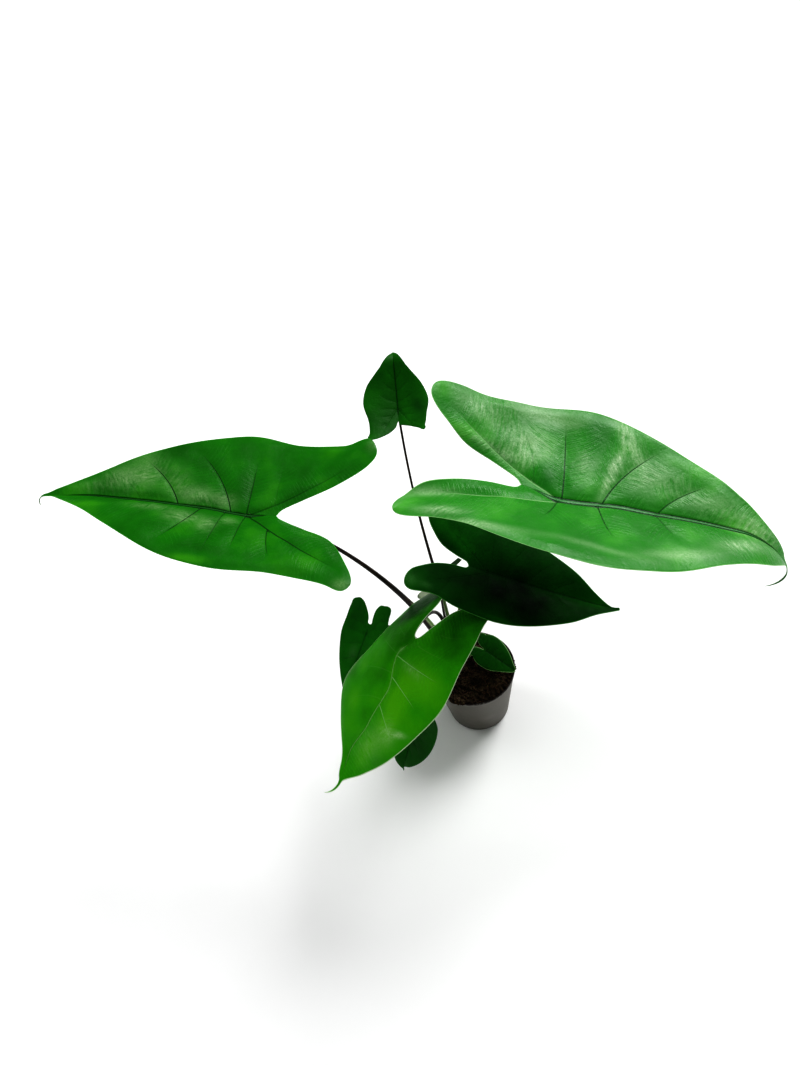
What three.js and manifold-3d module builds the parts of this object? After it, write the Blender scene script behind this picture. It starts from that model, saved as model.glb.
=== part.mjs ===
// A black stem zebra alocasia in a 12 cm nursery pot: a pot full of potting soil, a corm with
// roots, and nine leaves, each a petiole and an arrow-shaped blade.
// Millimetres, +Z up. The origin is the middle of the pot's underside; the low front leaf
// hangs toward -Y, the two great leaves spread toward -X and +X.
import * as THREE from 'three';
import { mergeVertices } from 'three/addons/utils/BufferGeometryUtils.js';
import Module from 'manifold-3d';

const wasm = await Module();
wasm.setup();

// Pot
const POT_HEIGHT = 107;
const POT_TOP_RADIUS = 60;
const POT_BASE_RADIUS = 45;
const WALL = 1.4;
const FLOOR = 1.8;
const RIM_HEIGHT = 6;
const RIM_PROUD = 0.6;
const DRAIN_HOLES = 6;
const DRAIN_HOLE_RADIUS = 4;
const DRAIN_CIRCLE_RADIUS = 30;
const POT_SEGMENTS = 48;

// Soil
const GAP = 0.3;
const SOIL_EDGE_HEIGHT = 104.5;
const SOIL_MOUND = 3;
const SOIL_BUMP = 1.4;
const SOIL_BUMPS = 26;
const SOIL_SEGMENTS = 36;
const SOIL_RINGS = 5;
const RIM_CLUMP_ANGLE = 232;

// Corm and roots, under the crown that all petioles rise from
const CROWN = [-20, 25];
const CORM_TOP = 96;
const CORM_PROFILE = [[0, 58], [7, 60], [12, 68], [17, 82], [20, 91], [19, 96], [0, 96]];
const ROOTS = 7;
const ROOT_RADIUS = 1.5;
const ROOT_DEPTH = 14;

// Blades
const BLADE_THICKNESS = 0.8;
const NOD_START = 0.72;
const SPINE_SHARE = 0.6;
const DRIFT_REACH = 0.3;
const FIRST_SHIFTED_OUTER = 3;
const HEAD_GAP = 0.55;

// Each leaf. Lengths in millimetres, angles in degrees. Pairs are the blade's left and right half,
// seen from above with the tip ahead. The junction is where the petiole meets the blade. Heading
// is the compass way of the tip from +X, pitch lifts the tip, roll lifts the left half. A petiole
// stands at its base beside the crown's middle and is drawn toward its two knees. Where the
// midrib isn't straight, drift gives how far it lies to the left at places along it. Where the margin
// leaves the plain shape, outerShift and innerShift give how far its control points lie outside it.
const LEAVES = [
  {
    name: 'left', color: '#1a7a10', junction: [-226, 91, 427], heading: 162, pitch: 12, roll: 4,
    length: 260, width: [102, 108], notch: 33,
    lobeReach: [143, 151], lobeSpread: [107, 102], lobeRound: [16, 23], lobeRise: [4, 21],
    droop: 2, nod: 16, fold: [20, 19], cup: [25, 13], twist: 0, tail: 26, tailCurl: 85,
    drift: [[0, 5.2], [60, 1.3], [120, 0.7], [180, 1.5], [230, 2.9]],
    outerShift: [
      [-1.8, -2.5, -2.2, 3.2, 3.7, -2.7, -2, 1.4, 6.3, 0.8],
      [1.5, -2.9, -3.5, 0.1, 5.2, -2.6, -3, -2.2, 6.5, -1.5],
    ],
    innerShift: [[-1.5, -3.8, 4.5, -5, -5.6], [-3, -9.6, -7.7, -3, -1.2]],
    petiole: { base: [-12, 3], knees: [[-32, 28, 227], [-140, 86, 381]], bottom: 12, top: 4.8 },
    stations: 20, strips: 4,
  },
  {
    name: 'right', color: '#2f8a2f', junction: [124, -24, 454], heading: -23, pitch: -16, roll: -4,
    length: 272, width: [113, 118], notch: 42,
    lobeReach: [171, 169], lobeSpread: [80, 71], lobeRound: [22, 29], lobeRise: [24, -23],
    droop: -2, nod: 51, fold: [13, 12], cup: [-4, -4], twist: 5, tail: 46, tailCurl: 100,
    drift: [[0, -9.7], [80, 1.3], [160, 5.4], [205, 4.6], [240, 2.5]],
    outerShift: [
      [3, -2.2, 1.8, 1.1, 4.3, -3.1, -1.7, 3.6, -1.5, 1.5],
      [5.1, 8.5, 0.1, 0.7, 2.3, -3.5, -5.9, -3.6, -0.9, -0.5],
    ],
    innerShift: [[-2.8, -7.6, -2.8, -1.5, 2], [-2.6, -1.8, 1.1, 3, 2.3]],
    petiole: { base: [11, 1], knees: [[-5, 69, 249], [95, 90, 400]], bottom: 10.4, top: 5 },
    stations: 20, strips: 4,
  },
  {
    name: 'back', color: '#0c4a10', junction: [-17, 240, 402], heading: 80, pitch: 22.4, roll: 3.1,
    length: 86.4, width: [46, 44], notch: 17,
    lobeReach: [52.4, 44.1], lobeSpread: [40.2, 34.9], lobeRound: [6, 4], lobeRise: [19, 23],
    droop: -28.4, nod: 75, fold: [21, 23], cup: [12, 14], twist: 0, tail: 8, tailCurl: 40,
    outerShift: [
      [0.1, 0.4, 1.2, 2.8, 0.9, -4, -3, -0.8, 1.1, 3.1],
      [0.8, 0.1, -0.9, -0.2, 0.1, -1.9, 0.2, 1.1, 1.5, 1.4],
    ],
    innerShift: [[1.1, 2.3, 1.7, -0.3, -1.5], [4.2, 0.9, -2.7, -2.9, -1.3]],
    petiole: { base: [0, 13], knees: [[-8, 65, 197], [-34, 105, 257]], bottom: 6.5, top: 3.2 },
    stations: 16, strips: 3,
  },
  {
    name: 'middle', color: '#06330c', junction: [36, -19, 341], heading: -22, pitch: -24, roll: 0.9,
    length: 166, width: [69, 69], notch: 24,
    lobeReach: [93, 96], lobeSpread: [50, 52], lobeRound: [14, 13], lobeRise: [21, -2],
    droop: -3.6, nod: -8, fold: [15, 12], cup: [16, 16], twist: 0, tail: 1, tailCurl: -20,
    outerShift: [
      [-3.1, -2.9, -1.2, -1.8, -0.9, -0.2, 0, 0.1, 0.1, 0.2],
      [2.2, 1.1, 2.9, 0.5, -0.3, -2, -4.3, -0.1, 1.9, 0.9],
    ],
    innerShift: [[-1.4, -1.3, 1.6, 0, -0.8], [-0.8, 1.2, 3.3, 2.3, -1.1]],
    petiole: { base: [9, -9], knees: [[-10, 10, 185], [2, 2, 290]], bottom: 8.4, top: 4 },
    stations: 18, strips: 4,
  },
  {
    name: 'front', color: '#2f8a08', junction: [-88, -68, 284], heading: -147, pitch: -25, roll: 16,
    length: 182, width: [83, 83], notch: 27,
    lobeReach: [111, 105], lobeSpread: [66, 63], lobeRound: [14, 13], lobeRise: [-14, -28],
    droop: 21, nod: -7, fold: [2, -1], cup: [27, 27], twist: -18, tail: 25, tailCurl: -100,
    drift: [[0, -8.7], [45, 11.3], [90, 7.9], [142, -4.6]],
    outerShift: [
      [2.1, 7.4, 6.7, 2.5, 1.5, -2.1, -0.6, -2, -4.1, -2],
      [0.7, -8.6, -0.9, 10.7, -5.3, -6.2, 13.5, 13.8, 7, -0.3],
    ],
    innerShift: [[-0.5, -0.7, 1.8, -1.7, -1.7], [-2.5, -2.5, 6.8, 8.5, 3.8]],
    petiole: { base: [-2, -9], knees: [[-20, 60, 246], [-42, 8, 252]], bottom: 9, top: 3.6 },
    stations: 18, strips: 4,
  },
  {
    name: 'front_left', color: '#0e4a14', junction: [-133, 26, 212], heading: -133, pitch: -32.3, roll: 4.6,
    length: 101, width: [40, 40], notch: 15,
    lobeReach: [49.9, 45.3], lobeSpread: [19.9, 30.4], lobeRound: [6, 8], lobeRise: [17, 24],
    droop: 10.7, nod: 18, fold: [14, 13], cup: [20, 22], twist: 0, tail: 6, tailCurl: 30,
    outerShift: [
      [0.4, -0.4, -1.3, -2.3, -3.1, -2.9, -0.6, 5, 4.2, -0.7],
      [-0.3, -2.2, -3.8, -3.9, -2, -0.6, 2.6, 3.8, 2.2, -1.7],
    ],
    innerShift: [[-1.6, 0.5, 2.8, 1, -2.6], [-1.3, -0.6, 0.2, 0.8, -0.1]],
    petiole: { base: [-13, -9], knees: [[-53, 16, 158], [-96, 55, 220]], bottom: 6, top: 2.6 },
    stations: 14, strips: 3,
  },
  {
    name: 'low', color: '#0b3d12', junction: [-94, -105, 182], heading: -143, pitch: -61.4, roll: -4.8,
    length: 79, width: [36, 36], notch: 10,
    lobeReach: [48, 48], lobeSpread: [22, 22], lobeRound: [5, 5], lobeRise: [23, 17],
    droop: -6.8, nod: 18.8, fold: [15, 14], cup: [19, 19], twist: -4, tail: 5, tailCurl: 30,
    outerShift: [
      [-1.9, 1.7, 2.4, 0.8, -1.1, 0.9, 0.7, 0.3, 0, -0.1],
      [3.2, 5.1, 3.2, 1.1, 0.1, -0.2, -0.1, -0.1, 0, 0],
    ],
    innerShift: [[0, 0, 0, 0, 0], [0, 0, 0, 0, 0]],
    petiole: { base: [-5, -17], knees: [[-34, -11, 158], [-60, -79, 201]], bottom: 5.4, top: 2.6 },
    stations: 14, strips: 3,
  },
  {
    name: 'basal', color: '#0b3d12', junction: [24, 1, 136], heading: -50, pitch: -10, roll: 16.4,
    length: 47, width: [23, 23], notch: 6,
    lobeReach: [21, 20], lobeSpread: [12, 12], lobeRound: [5, 5], lobeRise: [10, 10],
    droop: 5.3, nod: 6, fold: [12, 11], cup: [20, 21], twist: 2, tail: 1, tailCurl: 0,
    outerShift: [
      [2.4, 1.8, 1.6, 1.2, 1.6, 3.6, 4.8, 4.8, 5.6, 2.7],
      [2.2, 2.2, 0.8, 0.4, -1, 0, 1.8, 2.7, 3.5, 1.7],
    ],
    innerShift: [[0, 0, 0, 0, 0], [0, 0, 0, 0, 0]],
    petiole: { base: [17, -8], knees: [[4, 16, 117], [16, 12, 129]], bottom: 4.4, top: 2.4 },
    stations: 12, strips: 3,
  },
  {
    name: 'young', color: '#2c6a24', junction: [-18.7, 57.3, 239.5], heading: 21.2, pitch: 33.5, roll: -80,
    length: 45.5, width: [12.2, 12.2], notch: 8,
    lobeReach: [34, 34], lobeSpread: [12, 12], lobeRound: [5, 5], lobeRise: [5, 5],
    droop: 0, nod: 10, fold: [45, 45], cup: [20, 20], twist: 0, tail: 1, tailCurl: 0,
    outerShift: [[4.9, 3.5, 1.5, 0, 0, 0, 0, 0, 0, 0], [4.9, 3.5, 1.5, 0, 0, 0, 0, 0, 0, 0]],
    innerShift: [[0, 0, 0, 0, 0], [0, 0, 0, 0, 0]],
    petiole: { base: [-1, 1], knees: [[-22, 40, 150], [-24, 56, 195]], bottom: 7, top: 3 },
    stations: 12, strips: 3,
  },
];

const LEFT = 0;
const RIGHT = 1;

function radians(degrees) {
  return THREE.MathUtils.degToRad(degrees);
}

function mix(from, to, share) {
  return from + (to - from) * share;
}

// Repeatable random numbers between 0 and 1
function seededRandom(seed) {
  let state = seed;
  return () => {
    state = (state * 1664525 + 1013904223) % 4294967296;
    return state / 4294967296;
  };
}

// A closed geometry from a list of triangles, each three points. Points that coincide become one,
// and triangles that collapse are left out.
function weld(triangles) {
  const soup = new THREE.BufferGeometry();
  const positions = triangles.flatMap((corners) => corners.flatMap((point) => point.toArray()));
  soup.setAttribute('position', new THREE.Float32BufferAttribute(positions, 3));
  const welded = mergeVertices(soup, 1e-3);
  const kept = [];
  const index = welded.getIndex().array;
  for (let i = 0; i < index.length; i += 3) {
    const [a, b, c] = [index[i], index[i + 1], index[i + 2]];
    if (a !== b && b !== c && c !== a) {
      kept.push(a, b, c);
    }
  }
  welded.setIndex(kept);
  welded.computeVertexNormals();
  return welded;
}

function quad(a, b, c, d) {
  return [[a, b, c], [a, c, d]];
}

function toSolid(geometry) {
  const bare = geometry.clone();
  bare.deleteAttribute('normal');
  bare.deleteAttribute('uv');
  const merged = mergeVertices(bare, 1e-4);
  return new wasm.Manifold(new wasm.Mesh({
    numProp: 3,
    vertProperties: new Float32Array(merged.getAttribute('position').array),
    triVerts: new Uint32Array(merged.getIndex().array),
  }));
}

function toGeometry(solid) {
  const mesh = solid.getMesh();
  const geometry = new THREE.BufferGeometry();
  geometry.setAttribute('position', new THREE.BufferAttribute(mesh.vertProperties, 3));
  geometry.setIndex(new THREE.BufferAttribute(mesh.triVerts, 1));
  geometry.computeVertexNormals();
  return geometry;
}

function turned(profile, segments) {
  const points = profile.map(([radius, height]) => new THREE.Vector2(radius, height));
  const geometry = new THREE.LatheGeometry(points, segments);
  geometry.rotateX(Math.PI / 2);
  return geometry;
}

function named(name, geometry, color, roughness) {
  const material = new THREE.MeshStandardMaterial({
    color, roughness, metalness: 0, side: THREE.FrontSide,
  });
  const mesh = new THREE.Mesh(geometry, material);
  mesh.name = name;
  return mesh;
}

// Blade outline in flat leaf coordinates: x runs along the midrib to the tip, y away from it.
// The outer margin goes from the drip tip round to the far point of the lobe, the inner one from
// there back to the notch.
// Control points from the first one on, moved outward, square to the chord between their neighbours,
// and the last one along the lobe.
function movedOutward(points, shifts, first, endWay, turn) {
  return points.map(([x, y], k) => {
    const before = points[Math.max(k - 1, 0)];
    const after = points[Math.min(k + 1, points.length - 1)];
    const chord = new THREE.Vector2(after[0] - before[0], after[1] - before[1]).normalize();
    const way = k === points.length - 1 ? endWay : new THREE.Vector2(turn * chord.y, -turn * chord.x);
    const shift = shifts[k - first] ?? 0;
    return [x + shift * way.x, y + shift * way.y];
  });
}

function halfOutline(leaf, side) {
  const { length, notch, tail } = leaf;
  const width = leaf.width[side];
  const reach = leaf.lobeReach[side];
  const spread = leaf.lobeSpread[side];
  const round = leaf.lobeRound[side];
  const turn = Math.atan2(spread, reach);
  const axis = new THREE.Vector2(-Math.cos(turn), Math.sin(turn));
  const outward = new THREE.Vector2(Math.sin(turn), Math.cos(turn));
  const centre = new THREE.Vector2(-reach, spread).addScaledVector(axis, -round);
  const onRound = (degrees, scale) => {
    const point = centre.clone();
    point.addScaledVector(axis, scale * round * Math.cos(radians(degrees)));
    point.addScaledVector(outward, scale * round * Math.sin(radians(degrees)));
    return [point.x, point.y];
  };
  const outerShoulder = onRound(95, 1.12);
  const innerShoulder = onRound(-95, 1.12);
  const outer = [
    [length + tail, 0],
    [length + 0.5 * tail, 0.016 * width],
    [length - 0.1 * tail, 0.030 * width],
    [0.94 * length, 0.07 * width],
    [0.82 * length, 0.25 * width],
    [0.62 * length, 0.56 * width],
    [0.38 * length, 0.84 * width],
    [0.10 * length, width],
    [mix(0, outerShoulder[0], 0.40), mix(1.02 * width, outerShoulder[1], 0.28)],
    [mix(0, outerShoulder[0], 0.75), mix(width, outerShoulder[1], 0.66)],
    outerShoulder,
    onRound(45, 1),
    onRound(0, 1),
  ];
  const inner = [
    [-notch, 0],
    [mix(-notch, innerShoulder[0], 0.08), 0.07 * spread],
    [mix(-notch, innerShoulder[0], 0.33), mix(0, innerShoulder[1], 0.24)],
    [mix(-notch, innerShoulder[0], 0.66), mix(0, innerShoulder[1], 0.55)],
    innerShoulder,
    onRound(-45, 1),
    onRound(0, 1),
  ];
  const outerShift = leaf.outerShift?.[side] ?? [];
  const innerShift = leaf.innerShift?.[side] ?? [];
  return [
    smoothCurve(movedOutward(outer, outerShift, FIRST_SHIFTED_OUTER, axis, 1)),
    smoothCurve(movedOutward(inner, [...innerShift, ...outerShift.slice(-1)], 1, axis, -1)),
  ];
}

function smoothCurve(points) {
  const vectors = points.map(([x, y]) => new THREE.Vector3(x, y, 0));
  return new THREE.CatmullRomCurve3(vectors, false, 'catmullrom', 0.5);
}

// Where a bent strip ends after the given length of an arc with the given curvature
function arc(length, curvature) {
  if (Math.abs(curvature) < 1e-9) {
    return [length, 0];
  }
  const bend = length * curvature;
  return [Math.sin(bend) / curvature, (1 - Math.cos(bend)) / curvature];
}

// The midrib in side view: it droops, nods near the tip and curls at the drip tip; behind the
// junction the lobes rise in one arc. Returns the place and the slope after the length s.
function midribPoint(leaf, s, lobeRise) {
  if (s <= 0) {
    const curvature = radians(lobeRise) / (0.62 * leaf.length);
    const [x, z] = arc(s, curvature);
    return { x, z, slope: curvature * s };
  }
  const bends = [
    [NOD_START * leaf.length, leaf.droop],
    [(1 - NOD_START) * leaf.length, leaf.nod],
    [leaf.tail, leaf.tailCurl],
  ];
  let x = 0;
  let z = 0;
  let slope = 0;
  let left = s;
  for (const [span, bend] of bends) {
    const step = Math.min(left, span);
    const curvature = -radians(bend) / span;
    const [ahead, up] = arc(step, curvature);
    x += ahead * Math.cos(slope) - up * Math.sin(slope);
    z += ahead * Math.sin(slope) + up * Math.cos(slope);
    slope += curvature * step;
    left -= step;
  }
  return { x, z, slope };
}

// How far the midrib lies to the left after the length s, eased from place to place
function midribDrift(leaf, s) {
  const places = [[-leaf.notch, 0], ...(leaf.drift ?? []), [leaf.length, 0]];
  let drift = 0;
  for (let i = 1; i < places.length; i += 1) {
    const [from, to] = [places[i - 1], places[i]];
    if (s > from[0] && s <= to[0]) {
      drift = mix(from[1], to[1], THREE.MathUtils.smoothstep(s, from[0], to[0]));
    }
  }
  return drift;
}

// A flat leaf point (s along the midrib, t to the left) on the bent blade, in the leaf's frame
function bladePoint(leaf, s, t, side) {
  const meanRise = (leaf.lobeRise[LEFT] + leaf.lobeRise[RIGHT]) / 2;
  const away = THREE.MathUtils.smoothstep(Math.abs(t), 0, 0.15 * leaf.length);
  const rib = midribPoint(leaf, s, mix(meanRise, leaf.lobeRise[side], away));
  const fold = radians(leaf.fold[side]);
  const [out, up] = arc(Math.abs(t), -radians(leaf.cup[side]) / (0.42 * leaf.length));
  const sign = side === LEFT ? 1 : -1;
  const across = sign * (out * Math.cos(fold) - up * Math.sin(fold));
  const height = out * Math.sin(fold) + up * Math.cos(fold);
  const twist = radians(leaf.twist) * s / leaf.length;
  const y = across * Math.cos(twist) - height * Math.sin(twist);
  const lift = across * Math.sin(twist) + height * Math.cos(twist);
  const followed = 1 - THREE.MathUtils.smoothstep(Math.abs(t), 0, DRIFT_REACH * leaf.length);
  return new THREE.Vector3(
    rib.x - lift * Math.sin(rib.slope),
    y + midribDrift(leaf, s) * followed,
    rib.z + lift * Math.cos(rib.slope),
  );
}

function bladeNormal(leaf, s, t, side) {
  const step = 0.5;
  const otherSide = Math.abs(t) < step ? 1 - side : side;
  const sign = side === LEFT ? 1 : -1;
  const ahead = bladePoint(leaf, s + step, t, side).sub(bladePoint(leaf, s - step, t, side));
  const farther = bladePoint(leaf, s, t + sign * step, side);
  const nearer = bladePoint(leaf, s, t - sign * step, otherSide);
  const sideways = farther.sub(nearer).multiplyScalar(sign);
  return ahead.cross(sideways).normalize();
}

function leafFrame(leaf) {
  const heading = radians(leaf.heading);
  const pitch = radians(leaf.pitch);
  const roll = radians(leaf.roll);
  const forward = new THREE.Vector3(
    Math.cos(heading) * Math.cos(pitch),
    Math.sin(heading) * Math.cos(pitch),
    Math.sin(pitch),
  );
  const level = new THREE.Vector3(-Math.sin(heading), Math.cos(heading), 0);
  const raised = new THREE.Vector3().crossVectors(forward, level);
  const leftward = level.multiplyScalar(Math.cos(roll)).addScaledVector(raised, Math.sin(roll));
  const upward = new THREE.Vector3().crossVectors(forward, leftward);
  const frame = new THREE.Matrix4().makeBasis(forward, leftward, upward);
  frame.setPosition(...leaf.junction);
  return frame;
}

// Flat grid of one half: rows run from the midrib or the lobe's inner margin out to the margin
function halfGrid(leaf, side) {
  const [outer, inner] = halfOutline(leaf, side);
  const spineRows = Math.round(SPINE_SHARE * leaf.stations);
  const rows = [];
  for (let i = 0; i <= leaf.stations; i += 1) {
    const onSpine = i <= spineRows;
    const share = onSpine ? (i / spineRows) ** 1.3 : (i - spineRows) / (leaf.stations - spineRows);
    const u = onSpine ? SPINE_SHARE * share : mix(SPINE_SHARE, 1, share);
    const spineX = mix(leaf.length + leaf.tail, -leaf.notch, share);
    const from = onSpine ? new THREE.Vector3(spineX, 0, 0) : inner.getPointAt(share);
    const to = outer.getPointAt(u);
    const row = [];
    for (let j = 0; j <= leaf.strips; j += 1) {
      row.push(from.clone().lerp(to, j / leaf.strips));
    }
    rows.push(row);
  }
  return { rows, spineRows };
}

// The blade as a closed sheet: both faces of both halves, and the narrow edge all round
function bladeGeometry(leaf) {
  const triangles = [];
  const frame = leafFrame(leaf);
  for (const side of [LEFT, RIGHT]) {
    const sign = side === LEFT ? 1 : -1;
    const { rows, spineRows } = halfGrid(leaf, side);
    const faces = [0.5, -0.5].map((share) => rows.map((row) => row.map((flat) => {
      const s = flat.x;
      const t = sign * flat.y;
      const point = bladePoint(leaf, s, t, side);
      point.addScaledVector(bladeNormal(leaf, s, t, side), share * BLADE_THICKNESS);
      return point.applyMatrix4(frame);
    })));
    const [top, under] = faces;
    const put = (a, b, c, d) => {
      triangles.push(...(side === LEFT ? quad(a, b, c, d) : quad(d, c, b, a)));
    };
    const last = leaf.strips;
    for (let i = 0; i < leaf.stations; i += 1) {
      for (let j = 0; j < last; j += 1) {
        put(top[i][j], top[i][j + 1], top[i + 1][j + 1], top[i + 1][j]);
        put(under[i + 1][j], under[i + 1][j + 1], under[i][j + 1], under[i][j]);
      }
      put(top[i][last], under[i][last], under[i + 1][last], top[i + 1][last]);
      if (i >= spineRows) {
        put(top[i + 1][0], under[i + 1][0], under[i][0], top[i][0]);
      }
    }
  }
  return weld(triangles);
}

// The petiole's centre line, from the top of the corm to the blade's underside
function petioleCurve(leaf) {
  const { base, knees } = leaf.petiole;
  const frame = leafFrame(leaf);
  const upward = new THREE.Vector3().setFromMatrixColumn(frame, 2);
  const end = bladePoint(leaf, 0, 0, LEFT).applyMatrix4(frame);
  end.addScaledVector(upward, -(BLADE_THICKNESS / 2 + HEAD_GAP));
  const start = new THREE.Vector3(CROWN[0] + base[0], CROWN[1] + base[1], CORM_TOP + GAP);
  const [low, high] = knees.map((knee) => new THREE.Vector3(...knee));
  return { curve: new THREE.CubicBezierCurve3(start, low, high, end), upward, end };
}

// A petiole tapers from bottom to top, with a swollen sheath along the inner side of its lower
// third. Its foot is cut level and its head is cut along the blade. The margin makes the same
// body larger all round, for the hole that it stands in.
function petioleGeometry(leaf, margin) {
  const { bottom, top, base } = leaf.petiole;
  const { curve, upward, end } = petioleCurve(leaf);
  const sides = 8;
  const steps = Math.max(6, Math.round(curve.getLength() / 26));
  const lean = Math.atan2(end.y - CROWN[1] - base[1], end.x - CROWN[0] - base[0]);
  const level = new THREE.Vector3(-Math.sin(lean), Math.cos(lean), 0);
  const footHeight = CORM_TOP + GAP - margin;
  const rings = [];
  for (let i = 0; i <= steps; i += 1) {
    const u = i / steps;
    const centre = curve.getPointAt(u);
    const tangent = curve.getTangentAt(u);
    const across = level.clone().addScaledVector(tangent, -level.dot(tangent)).normalize();
    const inner = new THREE.Vector3().crossVectors(tangent, across);
    const radius = mix(bottom, top, Math.min(1, u * 1.4) ** 0.7) / 2;
    const sheath = 0.35 * Math.sin(Math.PI * THREE.MathUtils.clamp((u - 0.03) / 0.35, 0, 1));
    const ring = [];
    for (let j = 0; j < sides; j += 1) {
      const angle = 2 * Math.PI * j / sides;
      const bulge = 1 + sheath * Math.max(0, Math.sin(angle)) ** 3;
      const point = centre.clone();
      point.addScaledVector(across, (radius * bulge + margin) * Math.cos(angle));
      point.addScaledVector(inner, (radius * bulge + margin) * Math.sin(angle));
      if (i === 0) {
        point.addScaledVector(tangent, (footHeight - point.z) / tangent.z);
      }
      if (i === steps) {
        const short = end.clone().sub(point).dot(upward) / tangent.dot(upward);
        point.addScaledVector(tangent, short);
      }
      ring.push(point);
    }
    rings.push(ring);
  }
  const triangles = [];
  for (let i = 0; i < steps; i += 1) {
    for (let j = 0; j < sides; j += 1) {
      const next = (j + 1) % sides;
      triangles.push(...quad(rings[i][j], rings[i][next], rings[i + 1][next], rings[i + 1][j]));
    }
  }
  for (let j = 1; j < sides - 1; j += 1) {
    triangles.push([rings[0][0], rings[0][j + 1], rings[0][j]]);
    triangles.push([rings[steps][0], rings[steps][j], rings[steps][j + 1]]);
  }
  return weld(triangles);
}

// Pot wall in section, from the axis out along the underside, up, over the rim and back inside
function potProfile(margin) {
  const slope = (POT_TOP_RADIUS - POT_BASE_RADIUS) / POT_HEIGHT;
  const outerAt = (height) => POT_BASE_RADIUS + slope * height + margin;
  const innerAt = (height) => outerAt(height) - WALL - 2 * margin;
  const rimFoot = POT_HEIGHT - RIM_HEIGHT;
  return [
    [0, -margin],
    [POT_BASE_RADIUS - 1.5 + margin, -margin],
    [outerAt(1.5), 1.5],
    [outerAt(rimFoot - 0.6), rimFoot - 0.6 - margin],
    [outerAt(rimFoot) + RIM_PROUD, rimFoot - margin],
    [outerAt(POT_HEIGHT) + RIM_PROUD - 0.4, POT_HEIGHT - 0.5],
    [outerAt(POT_HEIGHT) - 0.4, POT_HEIGHT + margin],
    [innerAt(POT_HEIGHT), POT_HEIGHT + margin],
    [innerAt(FLOOR + 2), FLOOR + 2],
    [innerAt(FLOOR) - 2, FLOOR + margin],
    [0, FLOOR + margin],
  ];
}

function potGeometry() {
  let pot = toSolid(turned(potProfile(0), POT_SEGMENTS));
  for (let i = 0; i < DRAIN_HOLES; i += 1) {
    const angle = 2 * Math.PI * (i + 0.5) / DRAIN_HOLES;
    const hole = new THREE.CylinderGeometry(DRAIN_HOLE_RADIUS, DRAIN_HOLE_RADIUS, 4 * FLOOR, 16);
    hole.rotateX(Math.PI / 2);
    hole.translate(DRAIN_CIRCLE_RADIUS * Math.cos(angle), DRAIN_CIRCLE_RADIUS * Math.sin(angle), 0);
    pot = pot.subtract(toSolid(hole));
  }
  return toGeometry(pot);
}

// Soil height over the pot: a low mound with seeded bumps that fade out at the wall
function makeSoilHeight() {
  const random = seededRandom(12);
  const bumps = [];
  for (let i = 0; i < SOIL_BUMPS; i += 1) {
    const angle = 2 * Math.PI * random();
    const radius = (POT_TOP_RADIUS - 8) * Math.sqrt(random());
    bumps.push({
      x: radius * Math.cos(angle),
      y: radius * Math.sin(angle),
      size: mix(5, 11, random()),
      height: SOIL_BUMP * mix(-1, 1.6, random()),
    });
  }
  return (x, y) => {
    const share = Math.min(1, Math.hypot(x, y) / POT_TOP_RADIUS);
    let height = SOIL_EDGE_HEIGHT + SOIL_MOUND * (1 - share ** 3);
    for (const bump of bumps) {
      const distance = Math.hypot(x - bump.x, y - bump.y) / bump.size;
      height += bump.height * Math.exp(-distance * distance);
    }
    return height;
  };
}

function soilBody() {
  const soilHeight = makeSoilHeight();
  const slope = (POT_TOP_RADIUS - POT_BASE_RADIUS) / POT_HEIGHT;
  const innerAt = (height) => POT_BASE_RADIUS + slope * height - WALL - GAP;
  const bottom = FLOOR + GAP;
  const triangles = [];
  const at = (radius, step, height) => {
    const angle = 2 * Math.PI * step / SOIL_SEGMENTS;
    const x = radius * Math.cos(angle);
    const y = radius * Math.sin(angle);
    return new THREE.Vector3(x, y, height ?? soilHeight(x, y));
  };
  const edge = innerAt(SOIL_EDGE_HEIGHT);
  for (let step = 0; step < SOIL_SEGMENTS; step += 1) {
    for (let ring = 0; ring < SOIL_RINGS; ring += 1) {
      const near = edge * ring / SOIL_RINGS;
      const far = edge * (ring + 1) / SOIL_RINGS;
      triangles.push(...quad(at(near, step), at(far, step), at(far, step + 1), at(near, step + 1)));
    }
    const foot = innerAt(bottom + 2) - 0.6;
    const low = innerAt(bottom) - 2.6;
    triangles.push(...quad(
      at(edge, step), at(foot, step, bottom + 2), at(foot, step + 1, bottom + 2), at(edge, step + 1),
    ));
    triangles.push(...quad(
      at(foot, step, bottom + 2), at(low, step, bottom), at(low, step + 1, bottom),
      at(foot, step + 1, bottom + 2),
    ));
    triangles.push([new THREE.Vector3(0, 0, bottom), at(low, step + 1, bottom), at(low, step, bottom)]);
  }
  return toSolid(weld(triangles));
}

// A lump of soil that lies partly over the pot's rim
function rimClump() {
  const random = seededRandom(5);
  let clump = null;
  for (let i = 0; i < 4; i += 1) {
    const angle = radians(RIM_CLUMP_ANGLE + 7 * (i - 1.5));
    const lump = new THREE.IcosahedronGeometry(mix(3.4, 5.2, random()), 1);
    const radius = POT_TOP_RADIUS - mix(2, 5, random());
    lump.translate(radius * Math.cos(angle), radius * Math.sin(angle), POT_HEIGHT - 0.5);
    const solid = toSolid(lump);
    clump = clump ? clump.add(solid) : solid;
  }
  return clump;
}

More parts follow.
